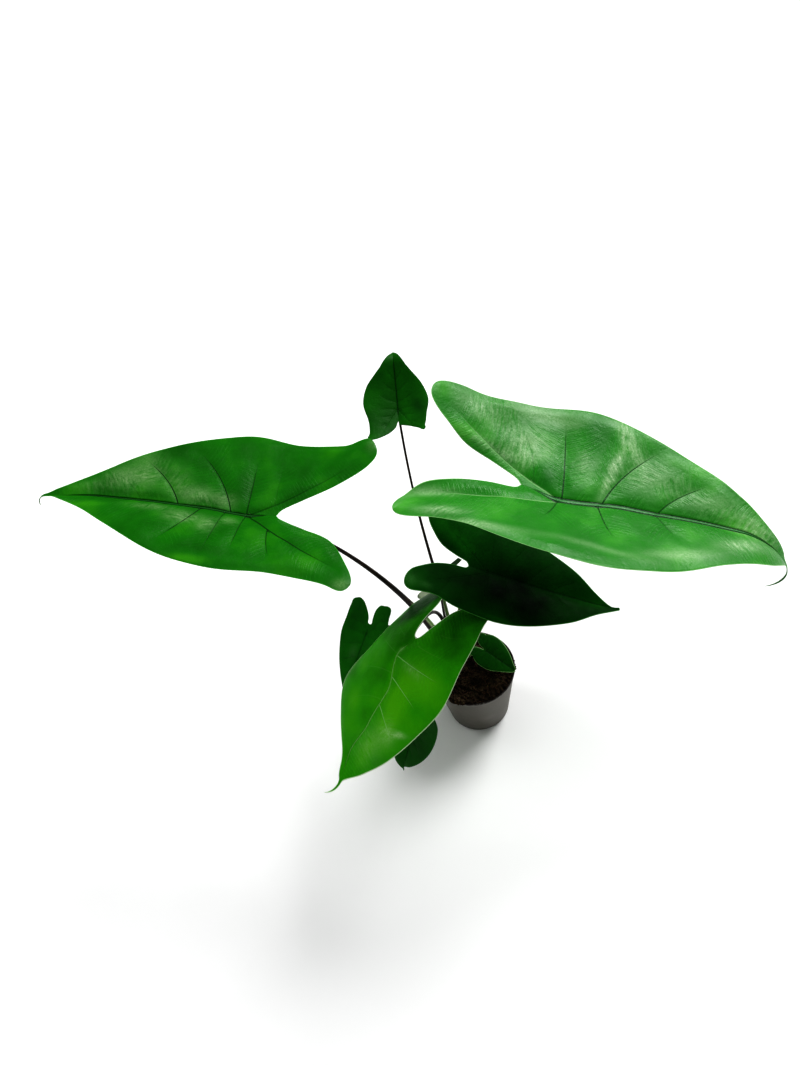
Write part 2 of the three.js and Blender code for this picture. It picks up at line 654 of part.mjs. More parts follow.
function rootGeometry(turn, random, margin) {
  const foot = new THREE.Vector3(CROWN[0], CROWN[1], 66);
  const way = new THREE.Vector3(Math.cos(turn), Math.sin(turn), 0);
  const spread = mix(22, 30, random());
  const knee = foot.clone().addScaledVector(way, 0.8 * spread).setZ(mix(56, 66, random()));
  const tip = foot.clone().multiplyScalar(0.4).addScaledVector(way, 1.1 * spread);
  tip.setZ(ROOT_DEPTH + 12 * random());
  const curve = new THREE.QuadraticBezierCurve3(foot, knee, tip);
  const section = new THREE.Shape();
  const radius = ROOT_RADIUS + margin;
  for (let i = 0; i < 6; i += 1) {
    const angle = 2 * Math.PI * i / 6;
    const point = [radius * Math.cos(angle), radius * Math.sin(angle)];
    if (i === 0) {
      section.moveTo(...point);
    } else {
      section.lineTo(...point);
    }
  }
  section.closePath();
  return new THREE.ExtrudeGeometry(section, {
    steps: 5, bevelEnabled: false, extrudePath: curve, curveSegments: 1,
  });
}

function cormAndRoots(margin) {
  const random = seededRandom(31);
  const profile = CORM_PROFILE.map(([radius, height], i) => {
    const low = i === 0;
    const high = i >= CORM_PROFILE.length - 2;
    const shift = (high ? margin : 0) - (low ? margin : 0);
    return [radius === 0 ? 0 : radius + margin, height + shift];
  });
  const corm = turned(profile, 20);
  corm.translate(CROWN[0], CROWN[1], 0);
  let solid = toSolid(corm);
  for (let i = 0; i < ROOTS; i += 1) {
    const turn = 2 * Math.PI * (i + 0.6 * random()) / ROOTS;
    solid = solid.add(toSolid(rootGeometry(turn, random, margin)));
  }
  return solid;
}

function soilGeometry() {
  let soil = soilBody().add(rimClump());
  soil = soil.subtract(toSolid(turned(potProfile(GAP), POT_SEGMENTS)));
  soil = soil.subtract(cormAndRoots(GAP));
  for (const leaf of LEAVES) {
    soil = soil.subtract(toSolid(petioleGeometry(leaf, GAP)));
  }
  return toGeometry(soil);
}

const plant = new THREE.Group();
plant.add(named('pot', potGeometry(), '#55595a', 0.55));
plant.add(named('soil', soilGeometry(), '#2b1b12', 0.95));
plant.add(named('corm_and_roots', toGeometry(cormAndRoots(0)), '#6b5138', 0.8));
for (const leaf of LEAVES) {
  plant.add(named(`petiole_${leaf.name}`, petioleGeometry(leaf, 0), '#231a17', 0.45));
  plant.add(named(`blade_${leaf.name}`, bladeGeometry(leaf), leaf.color, 0.35));
}

export default plant;
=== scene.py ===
import bmesh
import bpy
import numpy as np
from mathutils import Matrix, Vector


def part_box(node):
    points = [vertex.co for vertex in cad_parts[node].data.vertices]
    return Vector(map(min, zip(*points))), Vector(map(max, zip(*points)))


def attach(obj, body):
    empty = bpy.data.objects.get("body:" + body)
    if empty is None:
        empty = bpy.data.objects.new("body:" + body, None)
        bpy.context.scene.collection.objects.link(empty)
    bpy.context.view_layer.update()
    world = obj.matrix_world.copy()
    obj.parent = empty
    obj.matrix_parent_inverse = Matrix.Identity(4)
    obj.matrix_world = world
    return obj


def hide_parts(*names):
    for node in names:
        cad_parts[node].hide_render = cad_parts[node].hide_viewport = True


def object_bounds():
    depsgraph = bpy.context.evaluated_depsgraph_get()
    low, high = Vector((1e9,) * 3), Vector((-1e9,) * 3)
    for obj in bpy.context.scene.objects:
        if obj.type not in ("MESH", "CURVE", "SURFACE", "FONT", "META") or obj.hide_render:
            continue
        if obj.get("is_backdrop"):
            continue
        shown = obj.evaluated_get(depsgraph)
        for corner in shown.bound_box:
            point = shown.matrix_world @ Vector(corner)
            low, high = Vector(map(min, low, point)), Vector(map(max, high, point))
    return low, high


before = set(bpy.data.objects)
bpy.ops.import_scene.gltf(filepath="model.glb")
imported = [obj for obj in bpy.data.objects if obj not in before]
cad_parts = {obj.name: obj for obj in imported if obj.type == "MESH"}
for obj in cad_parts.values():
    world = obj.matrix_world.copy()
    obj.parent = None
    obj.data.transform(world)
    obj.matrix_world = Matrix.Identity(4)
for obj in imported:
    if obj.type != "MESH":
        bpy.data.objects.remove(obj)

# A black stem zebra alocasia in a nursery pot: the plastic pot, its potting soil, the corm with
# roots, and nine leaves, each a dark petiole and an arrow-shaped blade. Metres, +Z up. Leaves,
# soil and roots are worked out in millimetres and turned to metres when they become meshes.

bl_info = {
    "name": "Potted Alocasia",
    "version": (1, 0, 0),
    "blender": (4, 5, 0),
    "location": "View3D > Sidebar > Alocasia",
    "description": "Builds a potted black stem zebra alocasia round its construction model",
    "category": "Add Mesh",
}

CAD_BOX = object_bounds()
MM = 0.001
WELD = 0.002 * MM
LEFT, RIGHT = 0, 1

# Pot and soil, in millimetres, from the construction model
POT_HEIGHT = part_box("pot")[1].z / MM
RIM_PROUD = 0.6
POT_TOP_RADIUS = 60.0
POT_BASE_RADIUS = 45.0
POT_WALL = 1.4
POT_FLOOR = 1.8
RIM_HEIGHT = 6.0
DRAIN_HOLES = 6
DRAIN_HOLE_RADIUS = 4.0
DRAIN_CIRCLE_RADIUS = 30.0
SOIL_GAP = 0.3
SOIL_EDGE_HEIGHT = 104.5
SOIL_MOUND = 3.0
SOIL_BUMP = 1.4
SOIL_BUMPS = 26
SOIL_FOOT = POT_FLOOR + SOIL_GAP

# Loose soil, in millimetres and degrees: crumbs lie within one radius, and a quarter of them bank up
# against the pot's wall. A heap of them is over the rim, and a few stick to its outside, round these
# angles. Fibres lie within a radius of their own, with so many points along each and so many sides.
CRUMB_REACH = 57.3
BANK_REACH = (54, 58)
BANK_HEIGHT = 1.3
HEAP_CRUMBS = 130
HEAP_ANGLE = 232.0
STUCK_CRUMBS = 7
STUCK_ANGLE = -12.0
FIBRE_REACH = 54
FIBRE_STEPS = 9
FIBRE_SIDES = 5

# Corm and roots, in millimetres: where the corm stands, its top, its profile as radii and heights,
# and the roots, which start in the corm and end near the pot's floor
CROWN = np.array([-20.0, 25.0])
CORM_TOP = 96.0
CORM_PROFILE = [(0, 58), (7, 60), (12, 68), (17, 82), (20, 91), (19, 96), (0, 96)]
ROOTS = 7
ROOT_START = 66.0
ROOT_RADIUS = 1.5
ROOT_DEPTH = 14.0
ROOT_STEPS = 40

# Blades, as shares of their length: where the nod starts, how far from the midrib its drift is felt,
# over what the lobes' rise and the cup reach their angles, and how near the midrib both lobes rise alike
NOD_START = 0.72
DRIFT_REACH = 0.3
LOBE_SPAN = 0.62
CUP_SPAN = 0.42
LOBE_BLEND = 0.15

# Grids of blades: steps of a curve between two control points, the moving average that softens the
# lobe's end, the share of the rows that start on the midrib, and how rows crowd toward the tip and
# strips toward the midrib, as powers
KNOT_STEPS = 60
AVERAGE_STEPS = 51
AVERAGE_PASSES = 3
SPINE_SHARE = 0.6
TIP_CROWDING = 1.3
MIDRIB_CROWDING = 1.7

# Relief of a blade of the full length, in millimetres: how long one half's margin runs, the waves along
# it with their heights, and the cells, heights and seeds of the low undulation
FULL_LENGTH = 260
MARGIN_RUN = 450
MARGIN_WAVES = ((21, 1), (12.5, 0.6))
UNDULATION = ((28, 1, 40), (15, 0.5, 50))

# Petioles: how far below the blade they end, in how many steps their curve is worked out, and how
# many millimetres apart their rings are. Then the sheath: its start and length as shares of the
# petiole, and its wings and channel in degrees round it.
HEAD_DEPTH = 0.9
CURVE_STEPS = 400
PETIOLE_STEP = 2.5
SHEATH_START = 0.03
SHEATH_LENGTH = 0.35
WING_ANGLE = 34
WING_WIDTH = 11
CHANNEL_WIDTH = 20

# Half widths of the main veins at their start, and the spacing of the fine ones, in millimetres
COSTA_WIDTH = 1.5
LATERAL_WIDTH = 1.15
COSTAL_WIDTH = 0.9
FINE_SPACING = 5.5

# Where the main veins run, as shares of the blade's length. costa: the bend and the end of the vein
# that runs down a basal lobe. laterals: start on the midrib, then the end, ahead and outward.
# costals: start as a share of the costa, then the end. One number more makes a vein weaker.
PLAIN_VEINS = dict(
    costa=(-0.13, 0.11, -0.47, 0.27),
    laterals=[(0.01, 0.0, 0.33), (0.13, 0.27, 0.32), (0.31, 0.50, 0.24), (0.50, 0.68, 0.13)],
    costals=[(0.35, -0.16, 0.30), (0.65, -0.34, 0.31)],
)

# What most leaves have
USUAL_LEAF = dict(
    twist=0, drift=[], inner_shift=([0] * 5, [0] * 5), veins=(PLAIN_VEINS, PLAIN_VEINS), tones=[],
    painted_sheen_patches=[], slot="leaf_dark",
)

# Each leaf. Lengths in millimetres, angles in degrees. Pairs are the blade's left and right half, seen
# from above with the tip ahead. These are the sizes that the construction model is made from, apart from
# the last ones: midrib is the midrib's half width, sunk the share of the full depth to which veins are
# sunk, and quilt how far the blade domes between its veins. Soft patches are the place along and left of
# the midrib, the reach both ways (shares of the blade's length), the turn in degrees and the amount:
# tones make the blade darker or brighter, partly its own tone and partly painted shade and painted
# light, and the sheen patches are painted sheen, pale milky highlights painted into the colour.
LEAVES = {
    "left": dict(
        junction=(-226, 91, 427), heading=162, pitch=12, roll=4, length=260, width=(102, 108), notch=33,
        lobe_reach=(143, 151), lobe_spread=(107, 102), lobe_round=(16, 23), lobe_rise=(4, 21),
        droop=2, nod=16, fold=(20, 19), cup=(25, 13), tail=26, tail_curl=85,
        drift=[(0, 5.2), (60, 1.3), (120, 0.7), (180, 1.5), (230, 2.9)],
        outer_shift=(
            [-1.8, -2.5, -2.2, 3.2, 3.7, -2.7, -2, 1.4, 6.3, 0.8],
            [1.5, -2.9, -3.5, 0.1, 5.2, -2.6, -3, -2.2, 6.5, -1.5],
        ),
        inner_shift=([-1.5, -3.8, 4.5, -5, -5.6], [-3, -9.6, -7.7, -3, -1.2]),
        base=(-12, 3), knees=[(-32, 28, 227), (-140, 86, 381)], bottom=12, top=4.8,
        stations=240, strips=52, slot="leaf_green",
        veins=(
            dict(costa=(-0.13, 0.17, -0.48, 0.34),
                 laterals=[(0.01, 0.015, 0.31, 0.7), (0.11, 0.13, 0.34, 0.6), (0.23, 0.355, 0.29),
                           (0.40, 0.55, 0.185, 0.15), (0.58, 0.71, 0.085, 0.1)],
                 costals=[(0.33, -0.17, 0.32, 0.9), (0.62, -0.355, 0.375, 0.15)]),
            dict(costa=(-0.15, 0.07, -0.51, 0.30, 0.45),
                 laterals=[(0.01, 0.02, 0.285, 0.8), (0.085, 0.315, 0.30), (0.34, 0.55, 0.215),
                           (0.52, 0.69, 0.13, 0.2)],
                 costals=[(0.3, -0.115, 0.27, 0.2), (0.6, -0.33, 0.34, 0.1)]),
        ),
        midrib=2.4, sunk=1, quilt=2.2,
        tones=[
            (0.02, -0.13, 0.06, 0.07, 0, -0.3), (-0.34, -0.35, 0.12, 0.06, 0, 0.3),
            (0.17, 0.375, 0.1, 0.025, 0, 0.8), (0.75, 0.09, 0.12, 0.03, 0, 0.5),
            (-0.3, 0.31, 0.1, 0.08, 0, 0.1), (0.42, -0.3, 0.1, 0.06, 0, -0.5),
            (0.3, 0.3, 0.2, 0.06, 0, -0.2), (0.85, -0.03, 0.1, 0.04, 0, 0.4),
        ],
        painted_sheen_patches=[
            (0.78, -0.05, 0.08, 0.035, 0, 0.4), (0.62, -0.11, 0.09, 0.06, 0, 1.1),
            (0.51, -0.15, 0.07, 0.08, 20, 0.8), (0.37, -0.12, 0.06, 0.07, 20, 0.5),
            (0.26, -0.06, 0.09, 0.04, 0, 1.2), (0.12, -0.05, 0.05, 0.035, 0, 1),
            (0.45, 0.06, 0.1, 0.03, 0, 0.7), (0.28, 0.11, 0.08, 0.045, 0, 1.1),
            (0.16, 0.15, 0.04, 0.045, 0, 1.1), (0.07, 0.09, 0.04, 0.03, 0, 0.8),
            (0.58, -0.24, 0.08, 0.05, 0, 0.4), (-0.56, -0.4, 0.03, 0.05, 0, 0.6),
            (-0.51, 0.42, 0.035, 0.03, 0, 1),
        ],
    ),
    "right": dict(
        junction=(124, -24, 454), heading=-23, pitch=-16, roll=-4, length=272, width=(113, 118),
        notch=42,
        lobe_reach=(171, 169), lobe_spread=(80, 71), lobe_round=(22, 29), lobe_rise=(24, -23),
        droop=-2, nod=51, fold=(13, 12), cup=(-4, -4), twist=5, tail=46, tail_curl=100,
        drift=[(0, -9.7), (80, 1.3), (160, 5.4), (205, 4.6), (240, 2.5)],
        outer_shift=(
            [3, -2.2, 1.8, 1.1, 4.3, -3.1, -1.7, 3.6, -1.5, 1.5],
            [5.1, 8.5, 0.1, 0.7, 2.3, -3.5, -5.9, -3.6, -0.9, -0.5],
        ),
        inner_shift=([-2.8, -7.6, -2.8, -1.5, 2], [-2.6, -1.8, 1.1, 3, 2.3]),
        base=(11, 1), knees=[(-5, 69, 249), (95, 90, 400)], bottom=10.4, top=5,
        stations=240, strips=52, slot="leaf_bright",
        veins=(
            dict(costa=(-0.13, 0.04, -0.55, 0.23),
                 laterals=[(0.015, -0.02, 0.35), (0.175, 0.395, 0.305), (0.40, 0.60, 0.19, 0.8),
                           (0.60, 0.75, 0.095, 0.1)],
                 costals=[(0.3, -0.2, 0.255, 0.3), (0.6, -0.38, 0.285, 0.1)]),
            dict(costa=(-0.03, 0.11, -0.52, 0.13),
                 laterals=[(0.0, -0.06, 0.20, 0.8), (0.16, 0.22, 0.24), (0.395, 0.47, 0.13, 0.7),
                           (0.55, 0.66, 0.08, 0.1)],
                 costals=[(0.3, -0.22, 0.27, 0.15), (0.65, -0.40, 0.26, 0.1)]),
        ),
        midrib=4.1, sunk=1, quilt=2.4,
        tones=[
            (-0.06, 0.075, 0.05, 0.045, 0, -0.75), (0.12, 0.31, 0.06, 0.07, 0, -0.3),
            (0.75, 0.02, 0.1, 0.05, 0, 0.6), (-0.45, 0.14, 0.1, 0.035, 0, 0.6),
            (-0.6, 0.3, 0.05, 0.06, 0, 0.3), (-0.56, -0.2, 0.07, 0.07, 0, 0.4),
            (0.6, 0.25, 0.2, 0.05, 0, 0.3),
        ],
        painted_sheen_patches=[
            (-0.4, 0.27, 0.14, 0.06, -15, 0.8), (-0.16, 0.18, 0.1, 0.09, 0, 1.2),
            (-0.3, 0.12, 0.14, 0.025, -10, 0.8), (-0.12, 0.36, 0.2, 0.05, 0, 0.9),
            (0.25, 0.33, 0.03, 0.1, 30, 1.6), (0.2, 0.15, 0.02, 0.12, -15, 1.5),
            (0.36, 0.18, 0.12, 0.09, 0, 0.8), (0.6, 0.1, 0.13, 0.06, 0, 0.7),
            (0.09, 0.17, 0.05, 0.08, 0, 0.5), (-0.31, -0.35, 0.16, 0.025, 0, 1.2),
            (-0.43, -0.27, 0.09, 0.03, 0, 1.1), (-0.5, -0.13, 0.1, 0.03, 0, 1),
            (0.47, -0.24, 0.14, 0.03, 20, 1.2), (0.72, -0.1, 0.1, 0.03, 20, 1.2),
            (0.8, 0.03, 0.09, 0.06, 0, 1.1), (0.16, -0.33, 0.2, 0.02, 0, 0.6),
            (-0.06, 0.075, 0.055, 0.05, 0, -1.4), (0.12, 0.31, 0.06, 0.06, 0, -0.8),
        ],
    ),
    "back": dict(
        junction=(-17, 240, 402), heading=80, pitch=22.4, roll=3.1, length=86.4, width=(46, 44),
        notch=17,
        lobe_reach=(52.4, 44.1), lobe_spread=(40.2, 34.9), lobe_round=(6, 4), lobe_rise=(19, 23),
        droop=-28.4, nod=75, fold=(21, 23), cup=(12, 14), tail=8, tail_curl=40,
        outer_shift=(
            [0.1, 0.4, 1.2, 2.8, 0.9, -4, -3, -0.8, 1.1, 3.1],
            [0.8, 0.1, -0.9, -0.2, 0.1, -1.9, 0.2, 1.1, 1.5, 1.4],
        ),
        inner_shift=([1.1, 2.3, 1.7, -0.3, -1.5], [4.2, 0.9, -2.7, -2.9, -1.3]),
        base=(0, 13), knees=[(-8, 65, 197), (-34, 105, 257)], bottom=6.5, top=3.2,
        stations=130, strips=32,
        midrib=1.2, sunk=0.2, quilt=0.3,
        tones=[
            (-0.01, -0.33, 0.2, 0.12, 0, -0.6), (-0.49, -0.41, 0.08, 0.06, 0, 0.5),
        ],
    ),
    "middle": dict(
        junction=(36, -19, 341), heading=-22, pitch=-24, roll=0.9, length=166, width=(69, 69), notch=24,
        lobe_reach=(93, 96), lobe_spread=(50, 52), lobe_round=(14, 13), lobe_rise=(21, -2),
        droop=-3.6, nod=-8, fold=(15, 12), cup=(16, 16), tail=1, tail_curl=-20,
        outer_shift=(
            [-3.1, -2.9, -1.2, -1.8, -0.9, -0.2, 0, 0.1, 0.1, 0.2],
            [2.2, 1.1, 2.9, 0.5, -0.3, -2, -4.3, -0.1, 1.9, 0.9],
        ),
        inner_shift=([-1.4, -1.3, 1.6, 0, -0.8], [-0.8, 1.2, 3.3, 2.3, -1.1]),
        base=(9, -9), knees=[(-10, 10, 185), (2, 2, 290)], bottom=8.4, top=4,
        stations=180, strips=42, slot="leaf_shade",
        midrib=1.8, sunk=0.15, quilt=0.5,
        tones=[
            # Painted shade: the first patch darkens the middle, where the right leaf above casts its shadow
            (0.2, -0.14, 0.34, 0.22, 0, -1), (-0.53, -0.28, 0.12, 0.1, 0, 0.5),
            (0.8, 0, 0.12, 0.06, 0, 0.3), (0.25, -0.385, 0.3, 0.02, 0, 0.7),
            (-0.3, 0.2, 0.2, 0.15, 0, 0.15),
        ],
        painted_sheen_patches=[
            (-0.54, -0.28, 0.04, 0.05, 0, 0.9), (-0.43, -0.29, 0.05, 0.03, 0, 0.6),
        ],
    ),
    "front": dict(
        junction=(-88, -68, 284), heading=-147, pitch=-25, roll=16, length=182, width=(83, 83), notch=27,
        lobe_reach=(111, 105), lobe_spread=(66, 63), lobe_round=(14, 13), lobe_rise=(-14, -28),
        droop=21, nod=-7, fold=(2, -1), cup=(27, 27), twist=-18, tail=25, tail_curl=-100,
        drift=[(0, -8.7), (45, 11.3), (90, 7.9), (142, -4.6)],
        outer_shift=(
            [2.1, 7.4, 6.7, 2.5, 1.5, -2.1, -0.6, -2, -4.1, -2],
            [0.7, -8.6, -0.9, 10.7, -5.3, -6.2, 13.5, 13.8, 7, -0.3],
        ),
        inner_shift=([-0.5, -0.7, 1.8, -1.7, -1.7], [-2.5, -2.5, 6.8, 8.5, 3.8]),
        base=(-2, -9), knees=[(-20, 60, 246), (-42, 8, 252)], bottom=9, top=3.6,
        stations=200, strips=44, slot="leaf_yellow_green",
        veins=(
            dict(costa=(-0.13, 0.10, -0.49, 0.31, 0.1),
                 laterals=[(0.02, -0.02, 0.37), (0.15, 0.23, 0.32), (0.35, 0.505, 0.25),
                           (0.55, 0.66, 0.12, 0.2)],
                 costals=[(0.35, -0.17, 0.33, 0.2), (0.65, -0.36, 0.34, 0.1)]),
            dict(costa=(-0.13, 0.11, -0.47, 0.27, 0.1),
                 laterals=[(0.01, 0.0, 0.33, 0.15), (0.13, 0.27, 0.32, 0.15), (0.31, 0.50, 0.24, 0.1)],
                 costals=[(0.35, -0.16, 0.30, 0.1)]),
        ),
        midrib=1.7, sunk=0.35, quilt=1.2,
        tones=[
            # Painted shade: the first three patches darken the lobes, where the middle leaf above shades
            # them
            (-0.3, -0.28, 0.22, 0.14, 0, -1.2), (-0.52, -0.3, 0.14, 0.16, 0, -0.9),
            (-0.4, 0.24, 0.3, 0.22, 0, -0.6), (-0.12, -0.08, 0.08, 0.1, 0, -0.4),
            (0.04, 0.3, 0.12, 0.14, 0, 1), (0.2, 0.13, 0.16, 0.09, 0, 0.9),
            (0.23, -0.3, 0.08, 0.06, 0, 0.5), (0.46, -0.18, 0.07, 0.06, 0, 0.5),
            (0.45, 0.16, 0.16, 0.1, 0, 0.8), (0.12, 0, 0.14, 0.025, 0, 0.6),
            (0.7, 0.1, 0.14, 0.06, 0, 0.8),
            (0.3, 0.2, 0.3, 0.2, 0, 0.4),
        ],
        painted_sheen_patches=[
            (0.44, 0.27, 0.02, 0.06, 25, 1.3), (0.48, 0.2, 0.07, 0.06, 25, 0.6),
            (0.6, 0.12, 0.16, 0.1, 0, 0.35), (-0.5, -0.29, 0.16, 0.12, 0, -0.8),
            (-0.03, 0, 0.02, 0.015, 0, 0.8),
            (0.03, 0.16, 0.03, 0.08, 0, 0.4), (0.25, -0.43, 0.2, 0.02, 0, 0.5),
        ],
    ),
    "front_left": dict(
        junction=(-133, 26, 212), heading=-133, pitch=-32.3, roll=4.6, length=101, width=(40, 40),
        notch=15,
        lobe_reach=(49.9, 45.3), lobe_spread=(19.9, 30.4), lobe_round=(6, 8), lobe_rise=(17, 24),
        droop=10.7, nod=18, fold=(14, 13), cup=(20, 22), tail=6, tail_curl=30,
        outer_shift=(
            [0.4, -0.4, -1.3, -2.3, -3.1, -2.9, -0.6, 5, 4.2, -0.7],
            [-0.3, -2.2, -3.8, -3.9, -2, -0.6, 2.6, 3.8, 2.2, -1.7],
        ),
        inner_shift=([-1.6, 0.5, 2.8, 1, -2.6], [-1.3, -0.6, 0.2, 0.8, -0.1]),
        base=(-13, -9), knees=[(-53, 16, 158), (-96, 55, 220)], bottom=6, top=2.6,
        stations=120, strips=28,
        midrib=1.2, sunk=0.2, quilt=0.4,
        tones=[
            (-0.3, 0.13, 0.12, 0.1, 0, 0.3),
        ],
        painted_sheen_patches=[
            (0.29, -0.09, 0.1, 0.06, 0, 0.7),
        ],
    ),
    "low": dict(
        junction=(-94, -105, 182), heading=-143, pitch=-61.4, roll=-4.8, length=79, width=(36, 36),
        notch=10,
        lobe_reach=(48, 48), lobe_spread=(22, 22), lobe_round=(5, 5), lobe_rise=(23, 17),
        droop=-6.8, nod=18.8, fold=(15, 14), cup=(19, 19), twist=-4, tail=5, tail_curl=30,
        outer_shift=(
            [-1.9, 1.7, 2.4, 0.8, -1.1, 0.9, 0.7, 0.3, 0, -0.1],
            [3.2, 5.1, 3.2, 1.1, 0.1, -0.2, -0.1, -0.1, 0, 0],
        ),
        base=(-5, -17), knees=[(-34, -11, 158), (-60, -79, 201)], bottom=5.4, top=2.6,
        stations=110, strips=26,
        midrib=1.0, sunk=0.2, quilt=0.2,
    ),
    "basal": dict(
        junction=(24, 1, 136), heading=-50, pitch=-10, roll=16.4, length=47, width=(23, 23), notch=6,
        lobe_reach=(21, 20), lobe_spread=(12, 12), lobe_round=(5, 5), lobe_rise=(10, 10),
        droop=5.3, nod=6, fold=(12, 11), cup=(20, 21), twist=2, tail=1, tail_curl=0,
        outer_shift=(
            [2.4, 1.8, 1.6, 1.2, 1.6, 3.6, 4.8, 4.8, 5.6, 2.7],
            [2.2, 2.2, 0.8, 0.4, -1, 0, 1.8, 2.7, 3.5, 1.7],
        ),
        base=(17, -8), knees=[(4, 16, 117), (16, 12, 129)], bottom=4.4, top=2.4,
        stations=90, strips=24,
        midrib=0.8, sunk=0.15, quilt=0.2,
    ),
    "young": dict(
        junction=(-18.7, 57.3, 239.5), heading=21.2, pitch=33.5, roll=-80, length=45.5,
        width=(12.2, 12.2), notch=8,
        lobe_reach=(34, 34), lobe_spread=(12, 12), lobe_round=(5, 5), lobe_rise=(5, 5),
        droop=0, nod=10, fold=(45, 45), cup=(20, 20), tail=1, tail_curl=0,
        outer_shift=([4.9, 3.5, 1.5, 0, 0, 0, 0, 0, 0, 0], [4.9, 3.5, 1.5, 0, 0, 0, 0, 0, 0, 0]),
        base=(-1, 1), knees=[(-22, 40, 150), (-24, 56, 195)], bottom=7, top=3,
        stations=90, strips=20, slot="leaf_young",
        midrib=0.8, sunk=0.2, quilt=0.2,
        tones=[
            (-0.45, 0, 0.3, 0.6, 0, 1.6),
        ],
        painted_sheen_patches=[
            (-0.5, 0, 0.3, 0.6, 0, 1),
        ],
    ),
}
LEAVES = {name: {**USUAL_LEAF, "name": name, **sizes} for name, sizes in LEAVES.items()}


# Colour and shader helpers

def linear(hex_colour, alpha=1.0):
    """An sRGB hex colour such as #2f8a2f as linear red, green, blue and alpha."""
    parts = [int(hex_colour[i:i + 2], 16) / 255 for i in (1, 3, 5)]
    return tuple(c / 12.92 if c <= 0.04045 else ((c + 0.055) / 1.055) ** 2.4 for c in parts) + (alpha,)


def fill(tree, node, inputs):
    """Gives inputs of a node their values, or links them where a value is another node's output."""
    for key, value in inputs.items():
        if isinstance(value, bpy.types.NodeSocket):
            tree.links.new(value, node.inputs[key])
        else:
            node.inputs[key].default_value = value


def add_node(tree, kind, inputs=None, out=0, **settings):
    """Adds a shader node with its settings and inputs, and returns one of its outputs."""
    node = tree.nodes.new(kind)
    for setting, value in settings.items():
        setattr(node, setting, value)
    fill(tree, node, inputs or {})
    return node.outputs[out] if node.outputs else None


def new_material(name):
    """An empty node material, its tree, and a Principled BSDF wired to the output."""
    material = bpy.data.materials.new(name)
    material.use_nodes = True
    tree = material.node_tree
    tree.nodes.clear()
    shader = add_node(tree, "ShaderNodeBsdfPrincipled")
    add_node(tree, "ShaderNodeOutputMaterial", {"Surface": shader})
    return material, tree, shader.node


ATTRIBUTE, BUMP, MATH, MIX, NOISE, PLACE, RANGE = (
    "ShaderNodeAttribute", "ShaderNodeBump", "ShaderNodeMath", "ShaderNodeMix", "ShaderNodeTexNoise",
    "ShaderNodeTexCoord", "ShaderNodeMapRange",
)
# Settings for a Mix node that mixes colours, with its sockets, and for a Map Range node with soft ends
COLOURS = dict(data_type="RGBA", out=2)
SHARE, FIRST, SECOND = 0, 6, 7
SOFT = dict(interpolation_type="SMOOTHSTEP")


# Shape helpers, all for whole arrays

def eased(x, low, high):
    """Smoothstep: with f the share of x between low and high, 3 f^2 - 2 f^3."""
    share = np.clip((x - low) / (high - low), 0, 1)
    return share * share * (3 - 2 * share)


def blend(start, end, share):
    return start + (end - start) * share


def unit(vectors):
    length = np.linalg.norm(vectors, axis=-1, keepdims=True)
    return vectors / np.maximum(length, 1e-12)


def seeded_random(seed):
    """Repeatable numbers between 0 and 1 by the same linear congruence as the construction model."""
    state = seed
    while True:
        state = (state * 1664525 + 1013904223) % 4294967296
        yield state / 4294967296


def catmull_rom(points):
    """A cubic curve through the given points, in even steps from each to the next. Its slope at a
    point is half the way from the point before to the point after."""
    knots = np.array(points, float)
    knots = np.vstack([2 * knots[0] - knots[1], knots, 2 * knots[-1] - knots[-2]])
    spans = len(points) - 1
    place = np.linspace(0, spans, KNOT_STEPS * spans + 1)
    first = np.minimum(place.astype(int), spans - 1)
    f = (place - first)[:, None]
    a, b, c, d = knots[first], knots[first + 1], knots[first + 2], knots[first + 3]
    square, cube = 2 * a - 5 * b + 4 * c - d, 3 * b - 3 * c + d - a
    return 0.5 * (2 * b + (c - a) * f + square * f**2 + cube * f**3)


def along_path(path, shares):
    """Points at shares of the length of a polyline."""
    run = np.concatenate([[0], np.cumsum(np.linalg.norm(np.diff(path, axis=0), axis=1))])
    at = np.asarray(shares) * run[-1]
    return np.stack([np.interp(at, run, path[:, k]) for k in range(path.shape[1])], -1)


def bezier(points, steps):
    """A curve from the first control point to the last, drawn toward those between them: neighbours
    are mixed by the share of the way, again and again, until one point is left."""
    f = np.linspace(0, 1, steps)[:, None, None]
    mixed = np.repeat(np.array(points, float)[None], steps, axis=0)
    while mixed.shape[1] > 1:
        mixed = mixed[:, :-1] + (mixed[:, 1:] - mixed[:, :-1]) * f
    return mixed[:, 0]


def value_noise(x, y, cell, seed):
    """Smooth noise between -1 and 1: random lattice values, eased between lattice points."""
    table_size = 64
    table = np.random.default_rng(seed).random((table_size, table_size)) * 2 - 1
    gx, gy = x / cell + table_size / 2, y / cell + table_size / 2
    ix, iy = np.floor(gx).astype(int), np.floor(gy).astype(int)
    fx, fy = eased(gx - ix, 0, 1), eased(gy - iy, 0, 1)
    corner = lambda i, j: table[(ix + i) % table_size, (iy + j) % table_size]
    low = blend(corner(0, 0), corner(1, 0), fx)
    high = blend(corner(0, 1), corner(1, 1), fx)
    return blend(low, high, fy)


def turned(radius, angle, height):
    """Points on a turned surface: radius times the cosine and the sine of the angle, and the height."""
    x, y = radius * np.cos(angle), radius * np.sin(angle)
    return np.stack([x, y, np.broadcast_to(height, x.shape)], -1)


def numbered(points, first=0):
    """The vertex numbers of a grid of points."""
    rows, columns = points.shape[:2]
    return np.arange(rows * columns).reshape(rows, columns) + first


def grid_faces(index):
    """The quads between neighbouring rows and columns of a grid of vertex numbers."""
    corners = [index[:-1, :-1], index[:-1, 1:], index[1:, 1:], index[1:, :-1]]
    return np.stack(corners, -1).reshape(-1, 4)


